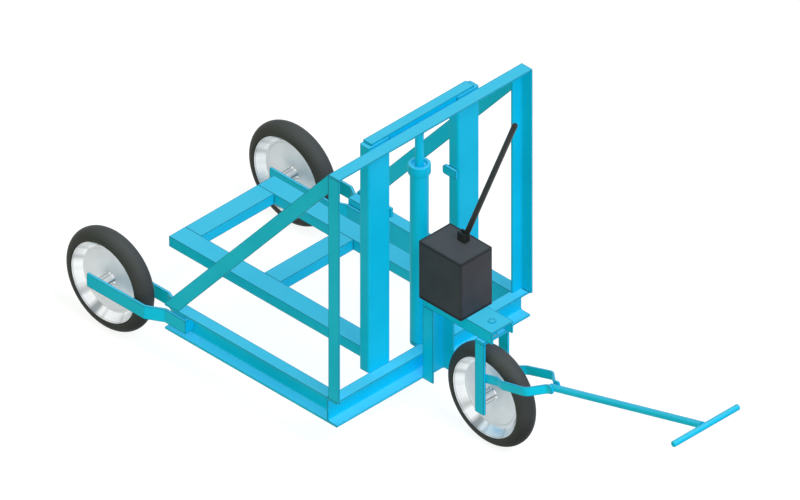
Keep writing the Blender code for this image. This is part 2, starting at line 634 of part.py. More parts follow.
def build_gland():
    """A cup that screws over the barrel: a skirt outside, a spigot inside and a recess on top."""
    seat = BARREL_TOP + GAP
    hole = ROD_RADIUS + RUNNING_FIT
    profile = [(hole, seat - GLAND_SPIGOT), (BORE_RADIUS - GAP, seat - GLAND_SPIGOT), (BORE_RADIUS - GAP, seat),
               (BARREL_RADIUS + GAP, seat), (BARREL_RADIUS + GAP, seat - GLAND_SKIRT),
               (GLAND_RADIUS - GLAND_CHAMFER, seat - GLAND_SKIRT), (GLAND_RADIUS, seat - GLAND_SKIRT + GLAND_CHAMFER),
               (GLAND_RADIUS, GLAND_TOP), (GLAND_RECESS_RADIUS, GLAND_TOP),
               (GLAND_RECESS_RADIUS, GLAND_TOP - GLAND_RECESS), (hole, GLAND_TOP - GLAND_RECESS)]
    gland = turned("ram_gland", profile, paint("ram_gland"), closed=True)
    gland.location = (RAM_X, 0.0, 0.0)


def build_steering_head():
    """Upright neck on the front beam, a forward bracket on it, and the kingpin's sleeve."""
    neck_height = BRACKET_BOTTOM - GAP - FRAME_BOTTOM
    neck = beam_channel("neck_post", neck_height)
    placed(neck, (FRONT_FACE + GAP, NECK_WIDTH_SECTION / 2, FRAME_BOTTOM), (1, 0, 0), (0, -1, 0))
    neck.location.z = FRAME_BOTTOM + neck_height
    bracket_length = FRONT_AXLE_AHEAD + BRACKET_AHEAD - GAP
    bracket = beam_channel("head_bracket", bracket_length)
    placed(bracket, (FRONT_FACE + GAP, -BEAM_DEPTH / 2, BRACKET_TOP), (0, 0, -1), (0, 1, 0))
    bored(bracket, "head_bracket_drill", KINGPIN_RADIUS + RUNNING_FIT,
          (KINGPIN_X, 0.0, BRACKET_TOP), (0, 0, 1), 4 * BEAM_WEB)
    sleeve_bottom = BRACKET_BOTTOM
    sleeve_length = BRACKET_TOP - BEAM_WEB - GAP - sleeve_bottom
    inner = KINGPIN_RADIUS + RUNNING_FIT
    sleeve = tube("kingpin_sleeve", inner + SLEEVE_WALL, inner, sleeve_length, paint("kingpin_sleeve"))
    sleeve.location = (KINGPIN_X, 0.0, sleeve_bottom)


def build_fork():
    """Crown and legs of flat bar, with a capped kingpin, the wheel's axle and the drawbar's pins."""
    half_bar = FORK_BAR_WIDTH / 2
    leg_inner = WHEEL_SPACE / 2
    leg_outer = leg_inner + FORK_BAR_T
    crown = block("fork_crown", (KINGPIN_X - half_bar, -leg_outer, CROWN_BOTTOM),
                  (KINGPIN_X + half_bar, leg_outer, CROWN_TOP), paint("fork_crown"))
    bored(crown, "fork_crown_drill", KINGPIN_RADIUS + GAP, (KINGPIN_X, 0.0, CROWN_TOP), (0, 0, 1), 4 * FORK_BAR_T)
    pieces = [crown]
    for side, sign in (("left", -1), ("right", 1)):
        name = "fork_leg_" + side
        low, high = sorted((sign * leg_inner, sign * leg_outer))
        leg = block(name, (KINGPIN_X - half_bar, low, AXLE_Z - FORK_FOOT),
                    (KINGPIN_X + half_bar, high, CROWN_BOTTOM - GAP), paint(name))
        for label, radius, height in (("axle", AXLE_RADIUS, AXLE_Z), ("hinge", DRAWBAR_PIN_RADIUS, HINGE_Z)):
            bored(leg, "%s_%s_drill" % (name, label), radius + GAP, (KINGPIN_X, sign * leg_inner, height),
                  (0, 1, 0), 2 * AXLE_SOCKET)
        pin_inner = leg_inner - GAP - YOKE_BAR_T
        pin_outer = leg_inner + AXLE_SOCKET - GAP
        pin = rod("drawbar_pin_" + side, DRAWBAR_PIN_RADIUS, pin_outer - pin_inner, steel(name + "_pin"), 24)
        pin_start = pin_inner if sign > 0 else -pin_outer
        placed(pin, (KINGPIN_X, pin_start, HINGE_Z), (0, 0, 1), (1, 0, 0))
        pieces += [leg, pin]
    washer = tube("thrust_washer", WASHER_RADIUS, KINGPIN_RADIUS + RUNNING_FIT, WASHER_T, steel("thrust_washer"))
    washer.location = (KINGPIN_X, 0.0, CROWN_TOP + GAP)
    cap_bottom = BRACKET_TOP + GAP
    cap_top = cap_bottom + CAP_HEIGHT
    profile = [(0.0, CROWN_BOTTOM), (KINGPIN_RADIUS, CROWN_BOTTOM), (KINGPIN_RADIUS, cap_bottom),
               (CAP_RADIUS, cap_bottom), (CAP_RADIUS, cap_top), (0.0, cap_top)]
    kingpin = turned("kingpin", profile, paint("kingpin"))
    kingpin.location = (KINGPIN_X, 0.0, 0.0)
    front_axle = axle("front_axle", (KINGPIN_X, 0.0, AXLE_Z))
    carry(pivot("steering_pivot", (KINGPIN_X, 0.0, CROWN_TOP)), pieces + [washer, kingpin, front_axle])
    build_wheel("front_wheel", (KINGPIN_X, 0.0, AXLE_Z))


def along_drawbar(distance, side, rise=0.0):
    """A place on the drawbar: distance from the hinge, sideways, and square to the bar upward."""
    x = KINGPIN_X + distance * cos(DRAWBAR_ANGLE) - rise * sin(DRAWBAR_ANGLE)
    z = HINGE_Z + distance * sin(DRAWBAR_ANGLE) + rise * cos(DRAWBAR_ANGLE)
    return (x, side, z)


def yoke_bar(name, sign):
    """A flat bar with a round heel on the hinge, splayed past the wheel and bent in to the rod."""
    outer = WHEEL_SPACE / 2 - GAP
    tip_outer = TOW_ROD_RADIUS + GAP + YOKE_BAR_T
    path = [(-YOKE_HEEL, -outer), (YOKE_SPLAY, -outer), (YOKE_BEND, -YOKE_BEND_HALF_WIDTH),
            (YOKE_TIP, -tip_outer), (YOKE_TIP + TOW_ROD_LAP, -tip_outer)]
    outline = [(a, -b * sign) for a, b in strip_outline(path, YOKE_BAR_T)]
    bar = prism(name, outline, YOKE_BAR_HEIGHT, paint(name))
    forward = Vector((cos(DRAWBAR_ANGLE), 0.0, sin(DRAWBAR_ANGLE)))
    upward = Vector((-sin(DRAWBAR_ANGLE), 0.0, cos(DRAWBAR_ANGLE)))
    half = YOKE_BAR_HEIGHT / 2
    placed(bar, along_drawbar(0.0, 0.0, -half), forward, (0, 1, 0))
    for label, flip in (("top", 1), ("bottom", -1)):
        corner = [(-YOKE_HEEL * 1.5, half * 1.5), (-YOKE_HEEL * 1.5, 0.0)]
        corner += arc((0.0, 0.0), half, 180, 90, 6) + [(0.0, half * 1.5)]
        flat = [(a, b * flip) for a, b in corner]
        cutter = prism("%s_heel_%s" % (name, label), flat, 4 * outer, bar.data.materials[0])
        placed(cutter, along_drawbar(0.0, 2 * outer), forward, upward)
        cut(bar, cutter)
    middle = sign * (outer - YOKE_BAR_T / 2)
    bored(bar, name + "_drill", DRAWBAR_PIN_RADIUS + RUNNING_FIT, (KINGPIN_X, middle, HINGE_Z),
          (0, 1, 0), 2 * YOKE_BAR_T, 24)
    return bar


def build_drawbar():
    """A yoke of two bars round the front wheel, a rod welded between their tips and a cross handle."""
    bars = [yoke_bar("yoke_bar_left", -1), yoke_bar("yoke_bar_right", 1)]
    rod_start = YOKE_TIP
    rod_length = DRAWBAR_REACH - HANDLE_RADIUS - GAP - rod_start
    tow_rod = rod("tow_rod", TOW_ROD_RADIUS, rod_length, paint("tow_rod"), 24)
    upward = Vector((-sin(DRAWBAR_ANGLE), 0.0, cos(DRAWBAR_ANGLE)))
    placed(tow_rod, along_drawbar(rod_start, 0.0), upward, (0, -1, 0))
    handle = rod("tow_handle", HANDLE_RADIUS, HANDLE_LENGTH, paint("tow_handle"), 24)
    placed(handle, along_drawbar(DRAWBAR_REACH, -HANDLE_LENGTH / 2), (0, 0, 1), (1, 0, 0))
    carry(pivot("drawbar_pivot", (KINGPIN_X, 0.0, HINGE_Z)), bars + [tow_rod, handle])


def rounded_rectangle(length, width, corner, steps=4):
    """A rectangle centred on the origin with round corners."""
    outline = []
    for turn, (a, b) in enumerate(((1, 1), (-1, 1), (-1, -1), (1, -1))):
        centre = (a * (length / 2 - corner), b * (width / 2 - corner))
        outline += arc(centre, corner, 90 * turn, 90 * turn + 90, steps)
    return outline


def build_pump():
    """Oil tank casing over a pump block, standing on the bracket, with the lever's socket on top."""
    finish = black_steel
    floor = prism("pump_floor", rounded_rectangle(PUMP_LENGTH, PUMP_WIDTH, PUMP_CORNER), PUMP_FLOOR_T, finish("pump_floor"))
    floor.location = (PUMP_MIDDLE, 0.0, PUMP_FLOOR)
    casing_height = PUMP_TOP - CASING_BOTTOM
    casing = prism("pump_casing", rounded_rectangle(PUMP_LENGTH, PUMP_WIDTH, PUMP_CORNER), casing_height,
                   finish("pump_casing"))
    casing.location = (PUMP_MIDDLE, 0.0, CASING_BOTTOM)
    inside = rounded_rectangle(PUMP_LENGTH - 2 * PUMP_WALL, PUMP_WIDTH - 2 * PUMP_WALL, PUMP_CORNER - PUMP_WALL)
    hollow = prism("pump_casing_hollow", inside, casing_height, casing.data.materials[0])
    hollow.location = (PUMP_MIDDLE, 0.0, CASING_BOTTOM - PUMP_WALL)
    cut(casing, hollow)
    outlet_z = CASING_BOTTOM + OUTLET_RISE
    rear = PUMP_MIDDLE - PUMP_LENGTH / 2
    bored(casing, "outlet_drill", PORT_BORE, (rear, 0.0, outlet_z), (1, 0, 0), 4 * PUMP_WALL, 24)
    outlet = tube("pump_outlet", PORT_RADIUS, PORT_BORE, PORT_LENGTH, steel("pump_outlet"), 24)
    placed(outlet, (rear - GAP - PORT_LENGTH, 0.0, outlet_z), (0, 1, 0), (0, 0, 1))
    build_pump_works()
    build_socket()


def build_pump_works():
    """The block with its bore inside the casing, and the plunger that the lever drives."""
    plunger_x = LEVER_X - PLUNGER_OFFSET
    block_bottom = PUMP_FLOOR + PUMP_FLOOR_T + GAP
    block_top = block_bottom + PUMP_BLOCK_HEIGHT
    half = PUMP_BLOCK / 2
    pump_block = block("pump_block", (plunger_x - half, SOCKET_OFFSET - half, block_bottom),
                       (plunger_x + half, SOCKET_OFFSET + half, block_top), steel("pump_block"))
    bored(pump_block, "pump_block_drill", PLUNGER_RADIUS + RUNNING_FIT, (plunger_x, SOCKET_OFFSET, block_top),
          (0, 0, 1), 2 * (PUMP_BLOCK_HEIGHT - 2 * PUMP_FLOOR_T), 24)
    plunger = rod("pump_plunger", PLUNGER_RADIUS, PLUNGER_LENGTH, steel("pump_plunger"), 24)
    plunger.location = (plunger_x, SOCKET_OFFSET, block_top - PLUNGER_DEPTH)


def build_socket():
    """A clevis on the casing, with the pin that the lever rocks on."""
    half_slot = LEVER_EYE_T / 2 + GAP
    half = half_slot + CHEEK_T
    outline = [(-half, 0.0), (half, 0.0), (half, SOCKET_HEIGHT), (half_slot, SOCKET_HEIGHT),
               (half_slot, SOCKET_BASE_T), (-half_slot, SOCKET_BASE_T), (-half_slot, SOCKET_HEIGHT),
               (-half, SOCKET_HEIGHT)]
    socket = prism("lever_socket", outline, SOCKET_LENGTH, black_steel("lever_socket"))
    placed(socket, (SOCKET_X - SOCKET_LENGTH / 2, SOCKET_OFFSET, PUMP_TOP + GAP), (0, 1, 0), (0, 0, 1))
    bored(socket, "lever_socket_drill", LEVER_PIN_RADIUS + GAP, (LEVER_X, SOCKET_OFFSET, LEVER_PIVOT_Z),
          (0, 1, 0), 4 * half, 24)
    half_pin = half + LEVER_PIN_PROUD
    pin = rod("lever_pin", LEVER_PIN_RADIUS, 2 * half_pin, black_steel("lever_pin"), 24)
    placed(pin, (LEVER_X, SOCKET_OFFSET - half_pin, LEVER_PIVOT_Z), (0, 0, 1), (1, 0, 0))


def build_lever():
    """A straight round bar with a flat, drilled tongue that stands in the socket."""
    lean = Vector((LEVER_FORWARD, 0.0, LEVER_UP)).normalized()
    aside = Vector((lean.z, 0.0, -lean.x))
    pivot_point = Vector((LEVER_X, SOCKET_OFFSET, LEVER_PIVOT_Z))
    length = hypot(LEVER_FORWARD, LEVER_UP) - LEVER_SHANK_START
    lever = rod("pump_lever", LEVER_RADIUS, length, black_steel("pump_lever"), 24)
    placed(lever, pivot_point + lean * LEVER_SHANK_START, aside, (0, 1, 0))
    flat = arc((0.0, 0.0), LEVER_EYE_RADIUS, 180, 360, 12)
    flat += [(LEVER_EYE_RADIUS, 2 * LEVER_SHANK_START), (-LEVER_EYE_RADIUS, 2 * LEVER_SHANK_START)]
    tongue = prism("pump_lever_tongue", flat, LEVER_EYE_T, lever.data.materials[0])
    placed(tongue, pivot_point + Vector((0.0, LEVER_EYE_T / 2, 0.0)), aside, lean)
    joined(lever, tongue)
    bored(lever, "pump_lever_drill", LEVER_PIN_RADIUS + RUNNING_FIT, pivot_point, (0, 1, 0), 4 * LEVER_EYE_T, 24)


def main():
    for existing in list(bpy.data.objects):
        bpy.data.objects.remove(existing, do_unlink=True)
    build_base_frame()
    build_rear_wheels()
    build_portal()
    build_guides()
    build_carriage()
    build_ram()
    build_steering_head()
    build_fork()
    build_drawbar()
    build_pump()
    build_lever()


main()
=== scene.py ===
import json
from math import pi

import bmesh
import bpy
import numpy as np
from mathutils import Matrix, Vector


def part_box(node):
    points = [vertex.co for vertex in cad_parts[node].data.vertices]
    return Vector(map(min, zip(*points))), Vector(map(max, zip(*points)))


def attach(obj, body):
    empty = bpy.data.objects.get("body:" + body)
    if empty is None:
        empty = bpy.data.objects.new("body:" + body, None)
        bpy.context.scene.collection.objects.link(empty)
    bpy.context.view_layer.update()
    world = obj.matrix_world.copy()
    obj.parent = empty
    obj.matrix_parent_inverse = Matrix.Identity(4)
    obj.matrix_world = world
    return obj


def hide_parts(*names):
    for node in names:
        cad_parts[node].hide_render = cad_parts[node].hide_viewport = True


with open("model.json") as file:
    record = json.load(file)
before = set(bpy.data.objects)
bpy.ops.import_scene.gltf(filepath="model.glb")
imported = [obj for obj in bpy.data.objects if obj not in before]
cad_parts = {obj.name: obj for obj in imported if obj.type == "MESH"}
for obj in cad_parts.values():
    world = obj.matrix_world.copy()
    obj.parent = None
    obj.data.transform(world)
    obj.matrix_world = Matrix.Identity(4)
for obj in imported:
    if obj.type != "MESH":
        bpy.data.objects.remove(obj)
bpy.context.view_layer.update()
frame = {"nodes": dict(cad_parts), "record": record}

# Camera: an isometric view from the towing end, with the photograph's framing
VIEW_TARGET = Vector((-0.2912, 0.1310, 0.4223))
VIEW_BACK = Vector((1.0, -1.0, 1.0)).normalized()
VIEW_WIDTH = 2.632
VIEW_DISTANCE = 6.0
VIEW_DEPTH = 40.0        # how far the camera sees

RIGHTWARD = np.array([0.0, 1.0, 0.0])
UPWARD = np.array([0.0, 0.0, 1.0])
SIDES = (("left", -1), ("right", 1))    # each side's name, and the sign of y there
MERGE_DISTANCE = 1e-7    # points closer than this are one
TINY = 1e-6              # keeps a divisor away from 0


def make_camera():
    camera_data = bpy.data.cameras.new("isometric_view")
    camera_data.type = "ORTHO"
    camera_data.ortho_scale = VIEW_WIDTH
    camera_data.clip_end = VIEW_DEPTH
    camera = bpy.data.objects.new("isometric_view", camera_data)
    camera.rotation_euler = VIEW_BACK.to_track_quat("Z", "Y").to_euler()
    camera.location = VIEW_TARGET + VIEW_BACK * VIEW_DISTANCE
    bpy.context.scene.collection.objects.link(camera)
    bpy.context.scene.camera = camera


# Places read from the frame

def corners(node):
    low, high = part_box(node)
    return np.array(low), np.array(high)


def node_centre(node):
    low, high = corners(node)
    return (low + high) / 2


def upright_axis(node):
    """The foot, at z = 0, of the upright line through a turned node on the middle plane."""
    return node_centre(node) * [1, 0, 0]


def face_y(node, toward):
    """The y of the face that looks to the left, for -1, or to the right, for 1."""
    low, high = corners(node)
    return low[1] if toward < 0 else high[1]


# Surfaces

NEARLY_UPRIGHT = 0.9     # z of a direction from which UPWARD no longer gives a sideways vector


def shell(points, finish=0):
    """A grid for surface_mesh whose rows are loops and whose last row joins its first."""
    return points, True, finish


def bar(points, finish=0):
    """A grid for surface_mesh whose rows are loops and whose end rows are capped."""
    return points, False, finish


def surface_mesh(name, grids, materials, smooth_angle=0.5):
    """One mesh from (points, closed, finish) grids. Each point makes a quad with its neighbours in
    the row and the next row, and a cap is a fan from the middle of its loop. finish is a material's
    place in the list, one for the whole grid or one for each row."""
    verts, quads, tris, quad_finish, tri_finish = [], [], [], [], []
    base = 0
    for points, closed, finish in grids:
        rows, columns = points.shape[:2]
        index = np.arange(rows * columns).reshape(rows, columns) + base
        here = index if closed else index[:-1]
        ahead = np.roll(index, -1, 0) if closed else index[1:]
        square = np.stack([here, ahead, np.roll(ahead, -1, 1), np.roll(here, -1, 1)], -1)
        chosen = np.broadcast_to(np.asarray(finish).reshape(-1, 1), here.shape)
        verts.append(points.reshape(-1, 3))
        quads.append(square.reshape(-1, 4))
        quad_finish.append(chosen.reshape(-1))
        base += rows * columns
        if closed:
            continue
        for row, loop in ((points[0], index[0]), (points[-1], index[-1][::-1])):
            verts.append(row.mean(0)[None])
            tris.append(np.stack([np.full(columns, base), np.roll(loop, -1), loop], -1))
            tri_finish.append(np.full(columns, chosen.flat[0]))
            base += 1
    places = np.concatenate(verts)
    quads = np.concatenate(quads)
    tris = np.concatenate(tris) if tris else np.zeros((0, 3), int)
    loops = np.concatenate([quads.ravel(), tris.ravel()])
    starts = np.concatenate([np.arange(len(quads)) * 4, quads.size + np.arange(len(tris)) * 3])
    mesh = bpy.data.meshes.new(name)
    mesh.vertices.add(len(places))
    mesh.vertices.foreach_set("co", places.astype(np.float32).ravel())
    mesh.loops.add(len(loops))
    mesh.loops.foreach_set("vertex_index", loops.astype(np.int32))
    mesh.polygons.add(len(starts))
    mesh.polygons.foreach_set("loop_start", starts.astype(np.int32))
    mesh.polygons.foreach_set("material_index", np.concatenate(quad_finish + tri_finish).astype(np.int32))
    for material in materials:
        mesh.materials.append(material)
    mesh.update(calc_edges=True)
    mesh.validate()
    face_outward(mesh)
    mesh.shade_smooth()
    mesh.set_sharp_from_angle(angle=smooth_angle)
    piece = bpy.data.objects.new(name, mesh)
    bpy.context.scene.collection.objects.link(piece)
    return piece


def face_outward(mesh):
    """Turns every closed shell's faces outward."""
    work = bmesh.new()
    work.from_mesh(mesh)
    bmesh.ops.remove_doubles(work, verts=work.verts, dist=MERGE_DISTANCE)
    bmesh.ops.recalc_face_normals(work, faces=work.faces)
    work.to_mesh(mesh)
    work.free()


def turned_grid(profile, centre, along, segments):
    """A (radius, height) profile turned about along: point = centre + along*height
    + radius*(side*cos t + rise*sin t), with t from 0 to a full turn."""
    helper = UPWARD if abs(along[2]) < NEARLY_UPRIGHT else RIGHTWARD
    side = np.cross(helper, along)
    side /= np.linalg.norm(side)
    rise = np.cross(along, side)
    turn = np.linspace(0, 2 * pi, segments, endpoint=False)
    round_about = np.cos(turn)[:, None] * side + np.sin(turn)[:, None] * rise
    return centre + profile[:, 1, None, None] * along + profile[:, 0, None, None] * round_about


def round_corner(before, corner, after, radius, points=5):
    """Points of an arc of the given radius that blends two lines meeting at a corner:
    centre + radius*(unit vectors turned evenly from one tangent point to the other)."""
    to_before = (before - corner) / np.linalg.norm(before - corner)
    to_after = (after - corner) / np.linalg.norm(after - corner)
    half = np.arccos(np.clip(to_before @ to_after, -1, 1)) / 2
    bisector = (to_before + to_after) / np.linalg.norm(to_before + to_after)
    centre = corner + bisector * radius / np.sin(half)
    first = corner + to_before * radius / np.tan(half) - centre
    last = corner + to_after * radius / np.tan(half) - centre
    share = np.linspace(0, 1, points)[:, None]
    chord = first * (1 - share) + last * share
    return centre + chord / np.linalg.norm(chord, axis=1, keepdims=True) * radius


def softened(outline, radii, closed=True):
    """An outline with its corners rounded by the radii given. A radius of 0 keeps a corner sharp,
    and so do the ends of an open outline."""
    outline = np.asarray(outline, float)
    radii = np.broadcast_to(radii, len(outline))
    parts = []
    for place, (corner, radius) in enumerate(zip(outline, radii)):
        at_end = not closed and place in (0, len(outline) - 1)
        if radius == 0 or at_end:
            parts.append(corner[None])
            continue
        after = outline[(place + 1) % len(outline)]
        parts.append(round_corner(outline[place - 1], corner, after, radius))
    return np.concatenate(parts)


def add_piece(piece, body, slot, *nodes):
    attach(piece, body)
    if nodes:
        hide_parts(*nodes)


# Colours

def rgba(hex_colour):
    """Hex display colour to linear light: the inverse of the display curve, channel by channel."""
    levels = np.array([int(hex_colour[place:place + 2], 16) for place in (0, 2, 4)]) / 255
    light = np.where(levels <= 0.04045, levels / 12.92, ((levels + 0.055) / 1.055) ** 2.4)
    return (*[float(level) for level in light], 1.0)


# Nodes

NOISE_ROUGHNESS = 0.55


def feed(tree, socket, value):
    """Links another node's output to a socket, or sets the socket to a constant."""
    if isinstance(value, bpy.types.NodeSocket):
        tree.links.new(value, socket)
    else:
        socket.default_value = value


def math_node(tree, operation, first, second):
    node = tree.nodes.new("ShaderNodeMath")
    node.operation = operation
    feed(tree, node.inputs[0], first)
    feed(tree, node.inputs[1], second)
    return node.outputs[0]


def noise_node(tree, vector, scale, detail):
    node = tree.nodes.new("ShaderNodeTexNoise")
    node.inputs["Detail"].default_value = detail
    node.inputs["Roughness"].default_value = NOISE_ROUGHNESS
    feed(tree, node.inputs["Scale"], scale)
    feed(tree, node.inputs["Vector"], vector)
    return node.outputs["Fac"]


def fade_node(tree, value, fade, result=(0.0, 1.0)):
    """Runs from one end of result to the other as the value goes through fade."""
    node = tree.nodes.new("ShaderNodeMapRange")
    feed(tree, node.inputs["Value"], value)
    for label, number in zip(("From Min", "From Max", "To Min", "To Max"), (*fade, *result)):
        node.inputs[label].default_value = number
    return node.outputs["Result"]


def mix_colour(tree, factor, first, second):
    node = tree.nodes.new("ShaderNodeMix")
    node.data_type = "RGBA"
    for place, value in ((0, factor), (6, first), (7, second)):
        feed(tree, node.inputs[place], value)
    return node.outputs[2]


def new_group(name, inputs, outputs):
    """An empty node group of float inputs, given with their defaults, and float outputs."""
    group = bpy.data.node_groups.new(name, "ShaderNodeTree")
    for label, value in inputs:
        socket = group.interface.new_socket(label, in_out="INPUT", socket_type="NodeSocketFloat")
        socket.default_value = value
    for label in outputs:
        group.interface.new_socket(label, in_out="OUTPUT", socket_type="NodeSocketFloat")
    return group, group.nodes.new("NodeGroupInput").outputs, group.nodes.new("NodeGroupOutput").inputs


def place_group(tree, group, **values):
    """Puts a group in a material. In the names of values, _ stands for a space."""
    node = tree.nodes.new("ShaderNodeGroup")
    node.node_tree = group
    for label, value in values.items():
        node.inputs[label.replace("_", " ")].default_value = value
    return node.outputs


# Effects that the finishes share

EDGE_FADE = (0.995, 0.86)        # cosine of the lean at which an edge's line starts, and is full
CLOUD_FADE = (0.38, 0.66)        # levels of noise between which the second tone comes in
SPECK_FADE = (0.70, 0.76)
SPECK_SHARE = 0.25
# Grey streaks on the bright rim: partly polishing marks, partly painted reflections.
POLISH_AND_REFLECTION_FADE = (0.50, 0.62)
POLISH_AND_REFLECTION_SHARE = 0.9
PATCH_FADE = (0.3, 0.7)
PATCH_RANGE = (0.75, 1.0)        # how much of the painted top light and dust is left in thin and in thick patches
LYING_FADE = (0.35, 0.95)        # height of the normal at which the painted top light and dust starts, and is full
HANGING_FADE = (0.0, -0.75)      # the same for the painted shade underneath
ROUGHNESS_FADE = (0.3, 0.7)
ROUGHNESS_DROP, ROUGHNESS_RISE = 0.05, 0.07
BUMP_DEPTH = 0.0004


def edge_line_group():
    """A mask that is 1 along sharp edges and 0 on flats: how far the rounded normal leans away."""
    group, given, result = new_group("edge_line", [("Width", 0.003)], ["Mask"])
    bevel = group.nodes.new("ShaderNodeBevel")
    bevel.samples = 6
    group.links.new(given["Width"], bevel.inputs["Radius"])
    geometry = group.nodes.new("ShaderNodeNewGeometry")
    lean = group.nodes.new("ShaderNodeVectorMath")
    lean.operation = "DOT_PRODUCT"
    group.links.new(bevel.outputs["Normal"], lean.inputs[0])
    group.links.new(geometry.outputs["Normal"], lean.inputs[1])
    group.links.new(fade_node(group, lean.outputs["Value"], EDGE_FADE), result["Mask"])
    return group


def film_group():
    """Slow cloudiness, fine grain and specks, as three masks from noise in the object's own metres."""
    group, given, result = new_group("surface_film", [("Cloud Scale", 5.0), ("Grain Scale", 420.0)],
                                     ["Cloud", "Grain", "Specks"])
    place = group.nodes.new("ShaderNodeTexCoord").outputs["Object"]
    group.links.new(noise_node(group, place, given["Cloud Scale"], detail=4.0), result["Cloud"])
    group.links.new(noise_node(group, place, given["Grain Scale"], detail=2.0), result["Grain"])
    speck = noise_node(group, place, 900.0, detail=1.0)
    group.links.new(fade_node(group, speck, SPECK_FADE), result["Specks"])
    return group


def dust_light_and_shade_group():
    """Two masks: a paler tone on faces that look up, painted light from above with some dust, a ramp of
    the normal's height broken up by slow noise, and painted shade on the faces that look down, a ramp of
    the normal's height the other way."""
    group, given, result = new_group("dust_top_light_and_under_shade", [("Scale", 6.0)], ["Dust And Top Light", "Under Shade"])
    split = group.nodes.new("ShaderNodeSeparateXYZ")
    group.links.new(group.nodes.new("ShaderNodeNewGeometry").outputs["Normal"], split.inputs[0])
    lying = fade_node(group, split.outputs["Z"], LYING_FADE)
    place = group.nodes.new("ShaderNodeTexCoord").outputs["Object"]
    patches = noise_node(group, place, given["Scale"], detail=5.0)
    broken = fade_node(group, patches, PATCH_FADE, PATCH_RANGE)
    group.links.new(math_node(group, "MULTIPLY", lying, broken), result["Dust And Top Light"])
    # Painted shade on the faces that look down.
    group.links.new(fade_node(group, split.outputs["Z"], HANGING_FADE), result["Under Shade"])
    return group


EDGE_LINE = edge_line_group()
FILM = film_group()
DUST_LIGHT_AND_SHADE = dust_light_and_shade_group()


# Finishes

def new_material(name, roughness, metallic=0.0):
    made = bpy.data.materials.new(name)
    made.use_nodes = True
    shader = made.node_tree.nodes["Principled BSDF"]
    shader.inputs["Roughness"].default_value = roughness
    shader.inputs["Metallic"].default_value = metallic
    return made, made.node_tree, shader


def worn_finish(name, ground, clouds, worn, roughness, edge, edge_width, cloud_scale, grain_scale, bump,
                metallic=0.0, specular=0.5, dust_and_top_light=None, shade=None):
    """A finish of three colours: the ground, the clouds over it, and the worn line along its edges.
    Where dust_and_top_light is given, that colour lies on the faces that look up, as painted light
    from above with some dust, and shade is painted shade on those that look down."""
    made, tree, shader = new_material(name, roughness, metallic)
    shader.inputs["Specular IOR Level"].default_value = specular
    film = place_group(tree, FILM, Cloud_Scale=cloud_scale, Grain_Scale=grain_scale)
    line = place_group(tree, EDGE_LINE, Width=edge_width)
    colour = mix_colour(tree, fade_node(tree, film["Cloud"], CLOUD_FADE), rgba(ground), rgba(clouds))
    # Upward faces take a paler tone, painted light from above with some dust; downward faces take painted
    # shade.
    for mask, tone in (("Dust And Top Light", dust_and_top_light), ("Under Shade", shade)):
        if tone:
            colour = mix_colour(tree, place_group(tree, DUST_LIGHT_AND_SHADE)[mask], colour, rgba(tone))
    specks = math_node(tree, "MULTIPLY", film["Specks"], SPECK_SHARE)
    colour = mix_colour(tree, specks, colour, rgba(worn))
    edges = math_node(tree, "MULTIPLY", line["Mask"], edge)
    tree.links.new(mix_colour(tree, edges, colour, rgba(worn)), shader.inputs["Base Color"])
    roughness_range = (roughness - ROUGHNESS_DROP, roughness + ROUGHNESS_RISE)
    rough = fade_node(tree, film["Cloud"], ROUGHNESS_FADE, roughness_range)
    tree.links.new(rough, shader.inputs["Roughness"])
    relief = tree.nodes.new("ShaderNodeBump")
    relief.inputs["Strength"].default_value = bump
    relief.inputs["Distance"].default_value = BUMP_DEPTH
    tree.links.new(film["Grain"], relief.inputs["Height"])
    tree.links.new(relief.outputs["Normal"], shader.inputs["Normal"])
    return made


def sky_blue_enamel():
    """Brushed-on enamel: a faint orange peel, a slow change of tone, a paler tone on top that is painted
    light from above with some dust, and darker lines where it thins over edges."""
    return worn_finish("sky_blue_enamel", ground="08C2EE", clouds="06BAE6", worn="05617C",
                       roughness=0.40, specular=0.10, edge=0.9, edge_width=0.0060, dust_and_top_light="48C6EC",
                       cloud_scale=4.0, grain_scale=260.0, bump=0.10)


def tyre_rubber():
    """Solid black rubber with a grey bloom and a fine moulded grain, with a painted highlight on the faces
    that look up and painted shade underneath.
    """
    return worn_finish("tyre_rubber", ground="3A3C3E", clouds="414345", worn="111213",
                       roughness=0.46, specular=0.05, edge=0.7, edge_width=0.0025, dust_and_top_light="4E5153",
                       shade="0A0A0C", cloud_scale=9.0, grain_scale=700.0, bump=0.18)


def rim_zinc():
    """Satin plating on the pressed disc."""
    return worn_finish("rim_zinc", ground="E0E2EB", clouds="D8DAE3", worn="6A7073",
                       roughness=0.56, metallic=0.6, edge=0.9, edge_width=0.0035,
                       cloud_scale=12.0, grain_scale=520.0, bump=0.05)


def rim_bright():
    """Bright plating on the barrel of the rim and on the hub, with soft grey streaks, partly polishing
    marks and partly
    painted reflections: noise along the way round the wheel, which is the same from one side of the barrel
    to the other."""
    made = worn_finish("rim_bright", ground="F6F7FA", clouds="EEF0F4", worn="7E8488",
                       roughness=0.33, metallic=0.8, edge=0.6, edge_width=0.003,
                       cloud_scale=14.0, grain_scale=600.0, bump=0.015)
    tree = made.node_tree
    base = tree.nodes["Principled BSDF"].inputs["Base Color"]
    around = tree.nodes.new("ShaderNodeAttribute")
    around.attribute_name = "around"
    # Grey streaks round the wheel: partly polishing marks, partly painted reflections.
    polish_and_reflection_streaks = noise_node(tree, around.outputs["Vector"], 2.1, detail=1.5)
    share = fade_node(tree, polish_and_reflection_streaks, POLISH_AND_REFLECTION_FADE, (0.0, POLISH_AND_REFLECTION_SHARE))
    tree.links.new(mix_colour(tree, share, base.links[0].from_socket, rgba("8B9297")), base)
    return made


